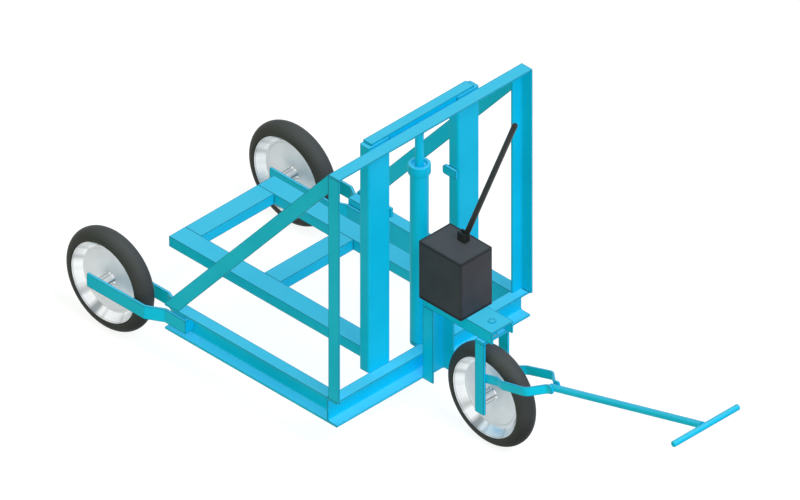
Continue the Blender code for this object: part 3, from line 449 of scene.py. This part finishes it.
def bright_steel():
    """Turned steel with a fine grain."""
    return worn_finish("bright_steel", ground="C9CCCE", clouds="B2B6B9", worn="7E8285",
                       roughness=0.28, metallic=0.9, edge=0.4, edge_width=0.0015,
                       cloud_scale=30.0, grain_scale=900.0, bump=0.06)


def casing_grey():
    """Dark grey powder coat with a fine texture, paler on faces that look up: painted light from above with
    some dust.
    """
    return worn_finish("casing_grey", ground="3C3D43", clouds="38393F", worn="0A0B0C",
                       roughness=0.58, specular=0.15, edge=1.0, edge_width=0.012, dust_and_top_light="4C4F53",
                       cloud_scale=10.0, grain_scale=800.0, bump=0.22)


def lever_black():
    """Black oxide on the lever and its socket, rubbed a little brighter along the edges."""
    return worn_finish("lever_black", ground="242628", clouds="1E2021", worn="484B4E",
                       roughness=0.45, specular=0.3, edge=0.4, edge_width=0.0015,
                       cloud_scale=24.0, grain_scale=700.0, bump=0.10)


ENAMEL = sky_blue_enamel()
RUBBER = tyre_rubber()
DISC_ZINC = rim_zinc()
BRIGHT_RIM = rim_bright()
STEEL = bright_steel()
CASING = casing_grey()
LEVER = lever_black()
SLOT_FINISH = {"enamel": ENAMEL, "bright_steel": STEEL, "black_steel": CASING, "rim_plate": DISC_ZINC,
               "rubber": RUBBER}


def dress_solids():
    """Every solid takes the finish of its material slot, and the lever's socket and pin its own."""
    for subpart in frame["record"]["subparts"]:
        for slot in frame["nodes"][subpart["node"]].material_slots:
            slot.material = SLOT_FINISH[subpart["material_slot"]]
    for name in ("lever_socket", "lever_pin"):
        frame["nodes"][name].material_slots[0].material = LEVER


# Wheels. A point is given by its radius and its distance from the wheel's middle plane.

TYRE_RADIUS, TYRE_HALF_WIDTH = 0.190, 0.0373
TREAD_GAP = 0.0002                         # how far the tread stays inside the solid's
TREAD_POINTS = 73
GROOVE_TURN, GROOVE_SPREAD, GROOVE_DEPTH = 0.98, 0.03, 0.0006
LIP_RADIUS, LIP_HALF_WIDTH, LIP_ROUND = 0.1485, 0.0345, 0.0017
LIP_START, LIP_END, LIP_POINTS = 1.05 * pi, -0.35 * pi, 12
DISC_RADIUS, DISC_HALF = 0.126, 0.003
HUB_RADIUS, HUB_HALF_LENGTH, AXLE_BORE = 0.0225, 0.0495, 0.0101
HUB_CHAMFER, HUB_FILLET = 0.0016, 0.004
PRESSED_RING = (0.1115, 0.1150, 0.1215)    # radii where the disc's raised ring starts, tops and ends
PRESSED_HEIGHT = 0.0022
DISH_FOOT = [[0.1262, DISC_HALF + 0.0050], [0.1300, 0.0115]]
DISH_EDGE = [LIP_RADIUS - 0.0040, LIP_HALF_WIDTH - 0.0035]
BARREL_RADIUS = 0.1225                     # from here out the rim is bright
HUB_BRIGHT_RADIUS = HUB_RADIUS + 0.0035    # and from here in
TYRE_SEAT = np.array([[LIP_RADIUS + 0.0003, 0.0306], [LIP_RADIUS - 0.0030, 0.0300],
                      [DISC_RADIUS + 0.0040, 0.0060]])
RIM_SEAT = np.array([[LIP_RADIUS - 0.0003, 0.0312], [LIP_RADIUS - 0.0036, 0.0308],
                     [DISC_RADIUS + 0.0034, 0.0058]])
TYRE_SEGMENTS, RIM_SEGMENTS = 160, 128


def tyre_section():
    """Half-round tread r = c + a*cos t, h = a*sin t between the rim's lips, where a dips by
    d*exp(-((|t| - g)/s)^2) at a fine groove each side, and the seat under it."""
    middle = TYRE_RADIUS - TYRE_HALF_WIDTH - TREAD_GAP
    reach = np.arccos((TYRE_SEAT[0, 0] - middle) / TYRE_HALF_WIDTH)
    turn = np.linspace(reach, -reach, TREAD_POINTS)
    size = TYRE_HALF_WIDTH - GROOVE_DEPTH * np.exp(-((np.abs(turn) - GROOVE_TURN) / GROOVE_SPREAD) ** 2)
    tread = np.stack([middle + size * np.cos(turn), size * np.sin(turn)], -1)
    return np.concatenate([tread, TYRE_SEAT * [1, -1], TYRE_SEAT[::-1]])


def rim_section():
    """Closed outline of the rim and hub from one side's bore round to the other: a chamfered hub,
    the disc with its raised ring, a dished barrel, a rolled lip and the tyre's seat."""
    start, top, end = PRESSED_RING
    side = [[AXLE_BORE, HUB_HALF_LENGTH - HUB_CHAMFER], [AXLE_BORE + HUB_CHAMFER, HUB_HALF_LENGTH],
            [HUB_RADIUS - HUB_CHAMFER, HUB_HALF_LENGTH], [HUB_RADIUS, HUB_HALF_LENGTH - HUB_CHAMFER],
            [HUB_RADIUS, DISC_HALF + HUB_FILLET], [HUB_RADIUS + HUB_FILLET, DISC_HALF],
            [start, DISC_HALF], [top, DISC_HALF + PRESSED_HEIGHT], [end, DISC_HALF + PRESSED_HEIGHT],
            *DISH_FOOT, DISH_EDGE]
    turn = np.linspace(LIP_START, LIP_END, LIP_POINTS)
    lip = np.stack([LIP_RADIUS - LIP_ROUND + LIP_ROUND * np.cos(turn),
                    LIP_HALF_WIDTH - LIP_ROUND + LIP_ROUND * np.sin(turn)], -1)
    half = np.concatenate([side, lip, RIM_SEAT])
    return np.concatenate([half, half[::-1] * [1, -1]])


def make_tyre(wheel, body, centre):
    grid = turned_grid(tyre_section(), centre, RIGHTWARD, TYRE_SEGMENTS)
    tyre = surface_mesh(wheel + "_solid_tyre", [shell(grid)], [RUBBER], smooth_angle=0.7)
    add_piece(tyre, body, "rubber", wheel + "_tyre")


def make_rim(wheel, body, centre):
    """The rim, with the direction from the axle kept in each point's attribute around."""
    section = rim_section()
    radius = (section[:, 0] + np.roll(section[:, 0], -1)) / 2
    bright = (radius > BARREL_RADIUS) | (radius < HUB_BRIGHT_RADIUS)
    grid = turned_grid(section, centre, RIGHTWARD, RIM_SEGMENTS)
    rim = surface_mesh(wheel + "_dished_rim", [shell(grid, bright.astype(int))], [DISC_ZINC, BRIGHT_RIM])
    places = np.empty(len(rim.data.vertices) * 3, np.float32)
    rim.data.vertices.foreach_get("co", places)
    around = (places.reshape(-1, 3) - centre) * [1, 0, 1]
    around /= np.linalg.norm(around, axis=1, keepdims=True)
    attribute = rim.data.attributes.new("around", "FLOAT_VECTOR", "POINT")
    attribute.data.foreach_set("vector", around.astype(np.float32).ravel())
    add_piece(rim, body, "rim_plate", wheel + "_rim")


# Ram

ROD_RADIUS, ROD_HOLE = 0.015, 0.0151
ROD_FOOT_CHAMFER, ROD_TOP_CHAMFER = 0.0015, 0.0005
CUP_RADIUS, CUP_BORE, CUP_DEPTH, CUP_SKIRT = 0.0385, 0.026, 0.010, 0.013
NECK_RADIUS, SPIGOT_RADIUS, SEAT_GAP = 0.0318, 0.0247, 0.0003


def make_ram():
    """The cupped gland and the rod as turned profiles, with small rounds where tools leave them."""
    low, high = corners("ram_gland")
    seat = corners("ram_barrel")[1][2] + SEAT_GAP
    axis = upright_axis("ram_gland")
    cup = softened(
        [[ROD_HOLE, high[2] - CUP_DEPTH], [CUP_BORE, high[2] - CUP_DEPTH], [CUP_BORE, high[2]],
         [CUP_RADIUS, high[2]], [CUP_RADIUS, seat - CUP_SKIRT], [NECK_RADIUS, seat - CUP_SKIRT],
         [NECK_RADIUS, seat], [SPIGOT_RADIUS, seat], [SPIGOT_RADIUS, low[2]], [ROD_HOLE, low[2]]],
        [0.001, 0.002, 0.0015, 0.003, 0.0025, 0.0008, 0, 0, 0.0008, 0.0008])
    gland = surface_mesh("ram_cup", [shell(turned_grid(cup, axis, UPWARD, segments=96))], [ENAMEL])
    add_piece(gland, "frame", "enamel", "ram_gland")
    low, high = corners("ram_rod")
    profile = np.array([[ROD_RADIUS - ROD_FOOT_CHAMFER, low[2]], [ROD_RADIUS, low[2] + ROD_FOOT_CHAMFER],
                        [ROD_RADIUS, high[2] - ROD_TOP_CHAMFER], [ROD_RADIUS - ROD_TOP_CHAMFER, high[2]]])
    rod = surface_mesh("ram_rod_turned", [bar(turned_grid(profile, axis, UPWARD, segments=64))], [ENAMEL])
    add_piece(rod, "carriage", "enamel", "ram_rod")


# Kingpin

PIN_RADIUS, PIN_CORE = 0.010, 0.0002       # the core is the small loop that a cap closes
CAP_RADIUS, CAP_HEIGHT = 0.0145, 0.003
DISHED_RADIUS, DISHED_FLOOR_RADIUS, DISHED_DEPTH = 0.0095, 0.0085, 0.0012


def make_kingpin():
    """The pin with a low, dished cap on the bracket."""
    low, high = corners("kingpin")
    head = high[2]
    profile = softened(
        [[PIN_CORE, low[2]], [PIN_RADIUS, low[2]], [PIN_RADIUS, head - CAP_HEIGHT],
         [CAP_RADIUS, head - CAP_HEIGHT], [CAP_RADIUS, head], [DISHED_RADIUS, head],
         [DISHED_FLOOR_RADIUS, head - DISHED_DEPTH], [PIN_CORE, head - DISHED_DEPTH]],
        [0, 0.001, 0.0004, 0.0006, 0.0009, 0.0004, 0.0004, 0], closed=False)
    grid = turned_grid(profile, upright_axis("kingpin"), UPWARD, segments=64)
    add_piece(surface_mesh("kingpin_head", [bar(grid)], [ENAMEL]), "fork", "enamel", "kingpin")


# Drawbar. A place on it is given along the tow line and aside from it, in metres from the hinge.

TOW_ROD_RADIUS, TOW_ROD_CHAMFER, TOW_ROD_FAR_CHAMFER = 0.0125, 0.001, 0.0002
HANDLE_ROUND = 0.004
YOKE_HEIGHT, YOKE_T, YOKE_EDGE_ROUND = 0.032, 0.008, 0.0012
YOKE_ASIDE, TIP_ASIDE = 0.0457, 0.0168
TIP_START, TIP_END = 0.298, 0.309
YOKE_LINE = [(0.018, YOKE_ASIDE), (0.074, YOKE_ASIDE), (0.108, 0.0608), (0.230, 0.0660),
             (0.2834, TIP_ASIDE), (TIP_END, TIP_ASIDE)]
YOKE_BENDS = (0, 0.03, 0.05, 0.040, 0.02, 0)
TIP_ROUND, TIP_DROP, TIP_POINTS = 0.009, 0.35, 10
EYE_BORE, EYE_REACH, EYE_POINTS = 0.0081, 0.021, 96
EYE_CHAMFER, EYE_FLAT = 0.0008, 0.8        # the flat edge is a share of the bar's thickness
YOKE_WELD, YOKE_WELD_START, YOKE_WELD_END = 0.004, 0.287, 0.307
YOKE_WELD_ASIDE, YOKE_WELD_LIFT = 0.0128, 0.0065


def tow_line():
    """The rod's near end, its direction and its length."""
    rod = np.array([vertex.co for vertex in frame["nodes"]["tow_rod"].data.vertices])
    ahead = rod[:, 0] > rod[:, 0].mean()
    near, far = rod[~ahead].mean(0), rod[ahead].mean(0)
    length = np.linalg.norm(far - near)
    return near, (far - near) / length, length


def make_tow_bar():
    """The rod from the yoke to the handle, and the handle with domed ends."""
    low, high = corners("tow_handle")
    radius, half = (high[0] - low[0]) / 2, (high[1] - low[1]) / 2
    turn = np.linspace(0, pi / 2, 7)
    dome = np.stack([radius - HANDLE_ROUND * (1 - np.sin(turn)),
                     HANDLE_ROUND * (1 - np.cos(turn)) - half], -1)
    profile = np.concatenate([dome, (dome * [1, -1])[::-1]])
    grid = turned_grid(profile, node_centre("tow_handle"), RIGHTWARD, segments=48)
    add_piece(surface_mesh("cross_handle", [bar(grid)], [ENAMEL]), "drawbar", "enamel", "tow_handle")
    near, along, length = tow_line()
    profile = np.array([[TOW_ROD_RADIUS - TOW_ROD_CHAMFER, 0.0], [TOW_ROD_RADIUS, TOW_ROD_CHAMFER],
                        [TOW_ROD_RADIUS, length - TOW_ROD_FAR_CHAMFER],
                        [TOW_ROD_RADIUS - TOW_ROD_FAR_CHAMFER, length]])
    grid = turned_grid(profile, near, along, segments=48)
    add_piece(surface_mesh("tow_bar", [bar(grid)], [ENAMEL]), "drawbar", "enamel", "tow_rod")


def yoke_bar_grid(hinge, along, up, sign):
    """A flat section carried along a centreline with rounded bends, leaned with it. Its height
    shrinks at the tip as 1 - c*(1 - sqrt(1 - q^2)), with q from 0 to 1 over the tip's round."""
    line = softened(YOKE_LINE, YOKE_BENDS, closed=False)
    tip = np.stack([np.linspace(TIP_START, TIP_END, TIP_POINTS), np.full(TIP_POINTS, TIP_ASIDE)], -1)
    line = np.concatenate([line[:-1], tip])
    steps = np.gradient(line, axis=0)
    steps /= np.linalg.norm(steps, axis=1, keepdims=True)
    close = np.clip((line[:, 0] - (TIP_END - TIP_ROUND)) / TIP_ROUND, 0, 1)
    shrunk = 1 - TIP_DROP * (1 - np.sqrt(1 - close ** 2))
    half = np.array([YOKE_T, YOKE_HEIGHT]) / 2
    section = softened(np.array([[-1, -1], [1, -1], [1, 1], [-1, 1]]) * half, YOKE_EDGE_ROUND)
    path = hinge + line[:, :1] * along + sign * line[:, 1:] * RIGHTWARD
    lean = -steps[:, 1:] * along + sign * steps[:, :1] * RIGHTWARD
    rise = (section[:, 1] * shrunk[:, None])[..., None] * up
    return path[:, None] + section[None, :, :1] * lean[:, None] + rise


def yoke_eye_grid(hinge, along, up, sign):
    """The drilled end of a bar: a loop round the hinge that runs as a half circle of the bar's
    half height behind it and as the bar's straight sides ahead, with chamfered edges."""
    turn = np.linspace(0, 2 * pi, EYE_POINTS, endpoint=False)
    ahead, across = np.cos(turn), np.sin(turn)
    to_side = YOKE_HEIGHT / 2 / np.maximum(np.abs(across), TINY)
    to_end = EYE_REACH / np.maximum(ahead, TINY)
    reach = np.where(ahead > 0, np.minimum(to_side, to_end), YOKE_HEIGHT / 2)
    bore = np.full(EYE_POINTS, EYE_BORE)
    chamfered = reach - EYE_CHAMFER
    radius = np.stack([bore, chamfered, reach, reach, chamfered, bore])
    level = np.array([-1, -1, -EYE_FLAT, EYE_FLAT, 1, 1]) * YOKE_T / 2 + sign * YOKE_ASIDE
    disc = radius[..., None] * (ahead[:, None] * along + across[:, None] * up)
    return hinge + disc + level[:, None, None] * RIGHTWARD


def make_yoke():
    """Two flat bars bent round the wheel, each with a drilled eye, and the beads at the rod."""
    hinge = (node_centre("drawbar_pin_left") + node_centre("drawbar_pin_right")) / 2
    _, along, _ = tow_line()
    up = np.cross(along, RIGHTWARD)
    for side, sign in SIDES:
        grids = [bar(yoke_bar_grid(hinge, along, up, sign)), shell(yoke_eye_grid(hinge, along, up, sign))]
        piece = surface_mesh("yoke_" + side, grids, [ENAMEL], smooth_angle=0.6)
        add_piece(piece, "drawbar", "enamel", "yoke_bar_" + side)
    beads = []
    for _, sign in SIDES:
        for lift in (-1, 1):
            edge = hinge + sign * YOKE_WELD_ASIDE * RIGHTWARD + lift * YOKE_WELD_LIFT * up
            beads.append((edge + YOKE_WELD_START * along, edge + YOKE_WELD_END * along,
                          -sign * RIGHTWARD, lift * up, YOKE_WELD))
    add_welds("drawbar_welds", "drawbar", beads)


# Pump lever. Distances run from the pin up the lever.

LEVER_TIP = np.array([0.2332, 0.0, 0.5704])
LEVER_RADIUS, LEVER_END_SHARE, LEVER_POINTS = 0.010, 0.82, 40
LEVER_EYE_RADIUS, LEVER_EYE_BORE, LEVER_EYE_HALF, LEVER_EYE_ROUND = 0.0085, 0.0041, 0.005, 0.0006
FOOT_START, FOOT_END, FOOT_CHEEK = 0.0045, 0.024, 0.010
FOOT_START_HALF, FOOT_SLOPE, FOOT_HALF, FOOT_GAP = 0.0071, 0.24, 0.0084, 0.0001
ROUND_START, ROUND_LENGTH, BAR_START, BAR_END_SHARE = 0.027, 0.015, 0.07, 0.995


def make_lever():
    """A round bar whose foot is forged flat and ends in a drilled eye. Its section is
    (a*c(t), b*s(t)), where c and s are cos and sin to a power that grows from 1/3, nearly a
    rectangle, at the foot to 1, a circle, up the bar."""
    pivot = node_centre("lever_pin")
    length = np.linalg.norm(LEVER_TIP)
    lean = LEVER_TIP / length
    aside = np.cross(RIGHTWARD, lean)
    rise = np.concatenate([np.linspace(FOOT_START, FOOT_END, 10),
                           np.linspace(ROUND_START, ROUND_START + ROUND_LENGTH, 9),
                           np.linspace(BAR_START, BAR_END_SHARE, 24) * length])
    grown = np.clip((rise - ROUND_START) / ROUND_LENGTH, 0, 1)
    grown = grown * grown * (3 - 2 * grown)
    foot = np.where(rise < FOOT_CHEEK, FOOT_START_HALF + (rise - FOOT_START) * FOOT_SLOPE, FOOT_HALF)
    width = foot * (1 - grown) + LEVER_RADIUS * grown
    thick = (LEVER_EYE_HALF - FOOT_GAP) * (1 - grown) + LEVER_RADIUS * grown
    power = ((1 + 2 * grown) / 3)[:, None]
    turn = np.linspace(0, 2 * pi, LEVER_POINTS, endpoint=False)
    cosine, sine = np.cos(turn)[None], np.sin(turn)[None]
    across = width[:, None] * np.sign(cosine) * np.abs(cosine) ** power
    through = thick[:, None] * np.sign(sine) * np.abs(sine) ** power
    across = np.concatenate([across, across[-1:] * LEVER_END_SHARE])
    through = np.concatenate([through, through[-1:] * LEVER_END_SHARE])
    rise = np.append(rise, length)
    grid = (pivot + rise[:, None, None] * lean + across[..., None] * aside
            + through[..., None] * RIGHTWARD)
    ring = softened([[LEVER_EYE_BORE, -LEVER_EYE_HALF], [LEVER_EYE_RADIUS, -LEVER_EYE_HALF],
                     [LEVER_EYE_RADIUS, LEVER_EYE_HALF], [LEVER_EYE_BORE, LEVER_EYE_HALF]], LEVER_EYE_ROUND)
    eye = turned_grid(ring, pivot, RIGHTWARD, segments=56)
    lever = surface_mesh("pump_lever_arm", [bar(grid), shell(eye)], [LEVER], smooth_angle=0.6)
    add_piece(lever, "lever", "black_steel", "pump_lever")


# Welds

WELD_PITCH, WELD_SWELL = 0.0032, 0.07
WELD_END_SHARE, WELD_END_LENGTH = 0.25, 0.8          # shares of the bead's size
BULGE_MEAN, BULGE_DEPTH, WELD_ROOT = 0.80, 0.20, 0.05
WELD, SMALL_WELD, FINE_WELD = 0.004, 0.0035, 0.003
SHORT_STOP, STOP, LONG_STOP = 0.002, 0.003, 0.004    # how far a bead stays from the end of its seam
ANGLE_T = 0.006
SEAT_PLATE_T = 0.010
BRACE_FOOT = 0.060
BRACE_HEAD_START, BRACE_HEAD_END = 0.074, 0.010      # below the brace's top
NECK_EDGE = 0.0005
BACK, AHEAD, UP, DOWN = (-1, 0, 0), (1, 0, 0), (0, 0, 1), (0, 0, -1)


def bead_grid(start, end, first, second, size):
    """A fillet weld: a quarter-round from first to second carried from start to end, whose size
    swells as size*(1 + a*|sin(pi*s/pitch)|) and tapers at both ends. The quarter-round bulges as
    m - d*cos(4*(t - pi/4))."""
    start, end, first, second = (np.asarray(part, float) for part in (start, end, first, second))
    length = np.linalg.norm(end - start)
    share = np.linspace(0, 1, max(int(length / WELD_PITCH * 4), 8) + 1)
    swell = size * (1 + WELD_SWELL * np.abs(np.sin(pi * share * length / WELD_PITCH)))
    from_end = np.minimum(share, 1 - share) * length
    taper = np.clip(from_end / (size * WELD_END_LENGTH), WELD_END_SHARE, 1.0)
    turn = np.linspace(0, pi / 2, 7)
    bulge = BULGE_MEAN - BULGE_DEPTH * np.cos(4 * (turn - pi / 4))
    arc = (np.cos(turn) * bulge)[:, None] * first + (np.sin(turn) * bulge)[:, None] * second
    section = np.concatenate([arc, [-(first + second) * WELD_ROOT]])
    middle = start + (end - start) * share[:, None]
    return middle[:, None] + section[None] * (swell * taper)[:, None, None]


def add_welds(name, body, beads, *more):
    """One piece of all the beads of a body, each (start, end, first, second, size)."""
    grids = [bar(bead_grid(*bead)) for bead in beads] + list(more)
    add_piece(surface_mesh(name, grids, [ENAMEL], smooth_angle=0.9), body, "enamel")


def frame_side_beads(side, sign):
    """Post to beam, top bar to post, side beam to front beam, the brace's ends, and the rear
    wheel's bar along the side beam."""
    inward = (0, -sign, 0)
    beam_low, beam_high = corners("front_beam")
    post_low, post_high = corners("post_" + side)
    side_low, side_high = corners("side_beam_" + side)
    brace_low, brace_high = corners("brace_" + side)
    bar_low, bar_high = corners("rear_wheel_bar_inner_" + side)
    top = beam_high[2]
    x = post_low[0]
    inner, outer = face_y("post_" + side, -sign), face_y("post_" + side, sign)
    flange = outer - sign * ANGLE_T
    under = corners("top_bar")[1][2] - ANGLE_T
    web = face_y("side_beam_" + side, -sign)
    edge = face_y("brace_" + side, -sign)
    beads = [((x, outer, top), (x, inner, top), BACK, UP, WELD),
             ((x + ANGLE_T, flange, top), (post_high[0] - SHORT_STOP, flange, top), inward, UP, WELD),
             ((x + ANGLE_T + SHORT_STOP, flange, under), (post_high[0] - STOP, flange, under),
              inward, DOWN, WELD),
             ((beam_low[0], web, side_low[2] + LONG_STOP), (beam_low[0], web, side_high[2] - LONG_STOP),
              BACK, inward, WELD),
             ((brace_low[0] + STOP, edge, side_high[2]), (brace_low[0] + BRACE_FOOT, edge, side_high[2]),
              inward, UP, WELD),
             ((x, edge, brace_high[2] - BRACE_HEAD_START), (x, edge, brace_high[2] - BRACE_HEAD_END),
              BACK, inward, WELD)]
    for level, up in ((bar_high[2], UP), (bar_low[2], DOWN)):
        beads.append(((side_low[0] + LONG_STOP, web, level), (bar_high[0] - STOP, web, level),
                      inward, up, SMALL_WELD))
    return beads


def make_frame_welds():
    """Beads where the members of the fixed frame meet."""
    beads = [bead for side, sign in SIDES for bead in frame_side_beads(side, sign)]
    top = corners("front_beam")[1][2]
    low, high = corners("neck_post")
    level = high[2] - NECK_EDGE
    for y, sign in ((low[1], -1), (high[1], 1)):
        beads.append(((low[0] + LONG_STOP, y, level), (high[0] - STOP, y, level),
                      (0, sign, 0), DOWN, SMALL_WELD))
    beads.append(((low[0], low[1] + STOP, top), (low[0], high[1] - STOP, top), BACK, UP, WELD))
    low, high = corners("ram_seat")
    level = high[2] - SEAT_PLATE_T
    beads.append(((high[0], low[1] + SHORT_STOP, level), (high[0], high[1] - SHORT_STOP, level),
                  BACK, DOWN, WELD))
    add_welds("frame_welds", "frame", beads)


def carriage_side_beads(side, sign):
    """The crosshead's end, the column's lug, and the deck's arm with its two members."""
    inward = (0, -sign, 0)
    cross_low, cross_high = corners("crosshead")
    column_low, column_high = corners("column_" + side)
    lug_low, lug_high = corners("column_lug_" + side)
    arm_low, arm_high = corners("deck_arm_" + side)
    x, top = column_low[0], column_high[2]
    inner = face_y("column_" + side, -sign)
    end = sign * cross_high[1]
    beads = [((cross_low[0] + STOP, end, top), (cross_high[0] - STOP, end, top),
              (0, sign, 0), UP, SMALL_WELD),
             ((cross_high[0], inner, cross_low[2] + STOP), (cross_high[0], inner, top - STOP),
              inward, AHEAD, FINE_WELD)]
    for level, up in ((lug_high[2], UP), (lug_low[2], DOWN)):
        beads.append(((x + SHORT_STOP, inner, level), (lug_high[0] - SHORT_STOP, inner, level),
                      inward, up, SMALL_WELD))
    beads.append(((x, arm_low[1] + STOP, arm_high[2]), (x, arm_high[1] - STOP, arm_high[2]),
                  BACK, UP, SMALL_WELD))
    seam = face_y("deck_arm_" + side, -sign)
    middle_low, middle_high = corners("deck_middle_member")
    rear_high = corners("deck_rear_member")[1]
    for x, out in ((rear_high[0], AHEAD), (middle_low[0], BACK), (middle_high[0], AHEAD)):
        beads.append(((x, seam, arm_low[2] + STOP), (x, seam, arm_high[2] - STOP),
                      out, inward, SMALL_WELD))
    return beads


def collar_grid():
    """The bead round the rod under the crosshead: a hollow quarter-round turned about the rod,
    r = a + c*(1 - sin t), h = top - c*(1 - cos t)."""
    top = corners("ram_rod")[1][2]
    turn = np.linspace(0, pi / 2, 6)
    curve = np.stack([ROD_RADIUS + SMALL_WELD * (1 - np.sin(turn)),
                      top - SMALL_WELD * (1 - np.cos(turn))], -1)
    inside = ROD_RADIUS - ROD_TOP_CHAMFER
    ring = np.concatenate([curve, [[inside, top - SMALL_WELD], [inside, top]]])
    return turned_grid(ring, upright_axis("ram_rod"), UPWARD, segments=64)


def make_carriage_welds():
    """Beads round the crosshead, the lugs and the members of the deck."""
    beads = [bead for side, sign in SIDES for bead in carriage_side_beads(side, sign)]
    add_welds("carriage_welds", "carriage", beads, shell(collar_grid()))


# Light and background

FLOOR_REACH, FLOOR_POINTS, FLOOR_LEVEL = 9.0, 5, -0.0005
FLOOR_GLOW = 0.61
SOFT_LIGHT = 0.18
PALE_BLUE = (0.95, 0.98, 1.0, 1.0)
WHITE = (1.0, 1.0, 1.0, 1.0)


def seen_directly(tree):
    """1 for the rays that show a backdrop: straight from the camera, off gloss and through glass."""
    rays = tree.nodes.new("ShaderNodeLightPath").outputs
    shown = math_node(tree, "MAXIMUM", rays["Is Camera Ray"], rays["Is Glossy Ray"])
    return math_node(tree, "MAXIMUM", shown, rays["Is Transmission Ray"])


def mix_by_ray(tree, hidden, shown, out):
    """Sends one shader to the rays that show the backdrop and another to the rest."""
    mix = tree.nodes.new("ShaderNodeMixShader")
    tree.links.new(seen_directly(tree), mix.inputs[0])
    tree.links.new(hidden.outputs[0], mix.inputs[1])
    tree.links.new(shown.outputs[0], mix.inputs[2])
    tree.links.new(mix.outputs[0], out.inputs[0])


def set_world():
    """Plain studio light. Rays that only see the background see it white."""
    world = bpy.data.worlds.new("studio")
    bpy.context.scene.world = world
    world.use_nodes = True
    tree = world.node_tree
    tree.nodes.clear()
    soft = tree.nodes.new("ShaderNodeBackground")
    soft.inputs["Color"].default_value = PALE_BLUE
    soft.inputs["Strength"].default_value = SOFT_LIGHT
    white = tree.nodes.new("ShaderNodeBackground")
    white.inputs["Color"].default_value = WHITE
    white.inputs["Strength"].default_value = 1.0
    mix_by_ray(tree, soft, white, tree.nodes.new("ShaderNodeOutputWorld"))


def add_sun(name, toward, strength, colour, softness, glints=True, shadows=True):
    light = bpy.data.lights.new(name, "SUN")
    light.energy = strength
    light.color = colour
    light.angle = softness
    light.use_shadow = shadows
    sun = bpy.data.objects.new(name, light)
    sun.rotation_euler = Vector(toward).to_track_quat("Z", "Y").to_euler()
    sun.visible_glossy = glints
    bpy.context.scene.collection.objects.link(sun)


def floor_white():
    """Pale floor that glows for the rays that show it, so it is white where the light reaches it."""
    made, tree, shader = new_material("floor_white", roughness=0.9)
    shader.inputs["Specular IOR Level"].default_value = 0.0
    film = place_group(tree, FILM, Cloud_Scale=1.5, Grain_Scale=60.0)
    tone = mix_colour(tree, film["Cloud"], (0.50, 0.50, 0.50, 1.0), (0.52, 0.52, 0.52, 1.0))
    tree.links.new(tone, shader.inputs["Base Color"])
    glow = tree.nodes.new("ShaderNodeEmission")
    glow.inputs["Strength"].default_value = FLOOR_GLOW
    both = tree.nodes.new("ShaderNodeAddShader")
    tree.links.new(shader.outputs[0], both.inputs[0])
    tree.links.new(glow.outputs[0], both.inputs[1])
    mix_by_ray(tree, shader, both, tree.nodes["Material Output"])
    return made


def make_floor():
    """A wide flat grid that keeps the trolley's soft shadow."""
    steps = np.linspace(-FLOOR_REACH, FLOOR_REACH, FLOOR_POINTS)
    x, y = np.meshgrid(steps, steps, indexing="ij")
    points = np.stack([x, y, np.full_like(x, FLOOR_LEVEL)], -1)
    index = np.arange(FLOOR_POINTS ** 2).reshape(FLOOR_POINTS, FLOOR_POINTS)
    faces = np.stack([index[:-1, :-1], index[1:, :-1], index[1:, 1:], index[:-1, 1:]], -1)
    mesh = bpy.data.meshes.new("floor")
    mesh.from_pydata(points.reshape(-1, 3).tolist(), [], faces.reshape(-1, 4).tolist())
    mesh.materials.append(floor_white())
    floor = bpy.data.objects.new("floor", mesh)
    bpy.context.scene.collection.objects.link(floor)


make_camera()
dress_solids()
for wheel, body in (("rear_wheel_left", "rear_left_wheel"), ("rear_wheel_right", "rear_right_wheel"),
                    ("front_wheel", "front_wheel")):
    centre = node_centre(wheel + "_tyre")
    make_tyre(wheel, body, centre)
    make_rim(wheel, body, centre)
make_ram()
make_kingpin()
make_tow_bar()
make_yoke()
make_lever()
make_frame_welds()
make_carriage_welds()
make_floor()
set_world()
add_sun("key", (0.52, -0.02, 0.64), strength=1.0, colour=(0.95, 0.97, 1.0), softness=0.5)
add_sun("key_fill", (0.52, -0.02, 0.66), strength=1.95, colour=(0.95, 0.97, 1.0), softness=0.5,
        glints=False, shadows=False)
add_sun("side", (0.05, -1.0, 0.25), strength=1.05, colour=(0.92, 1.0, 0.41), softness=0.9,
        glints=False, shadows=False)
bpy.context.scene.view_settings.view_transform = "Standard"
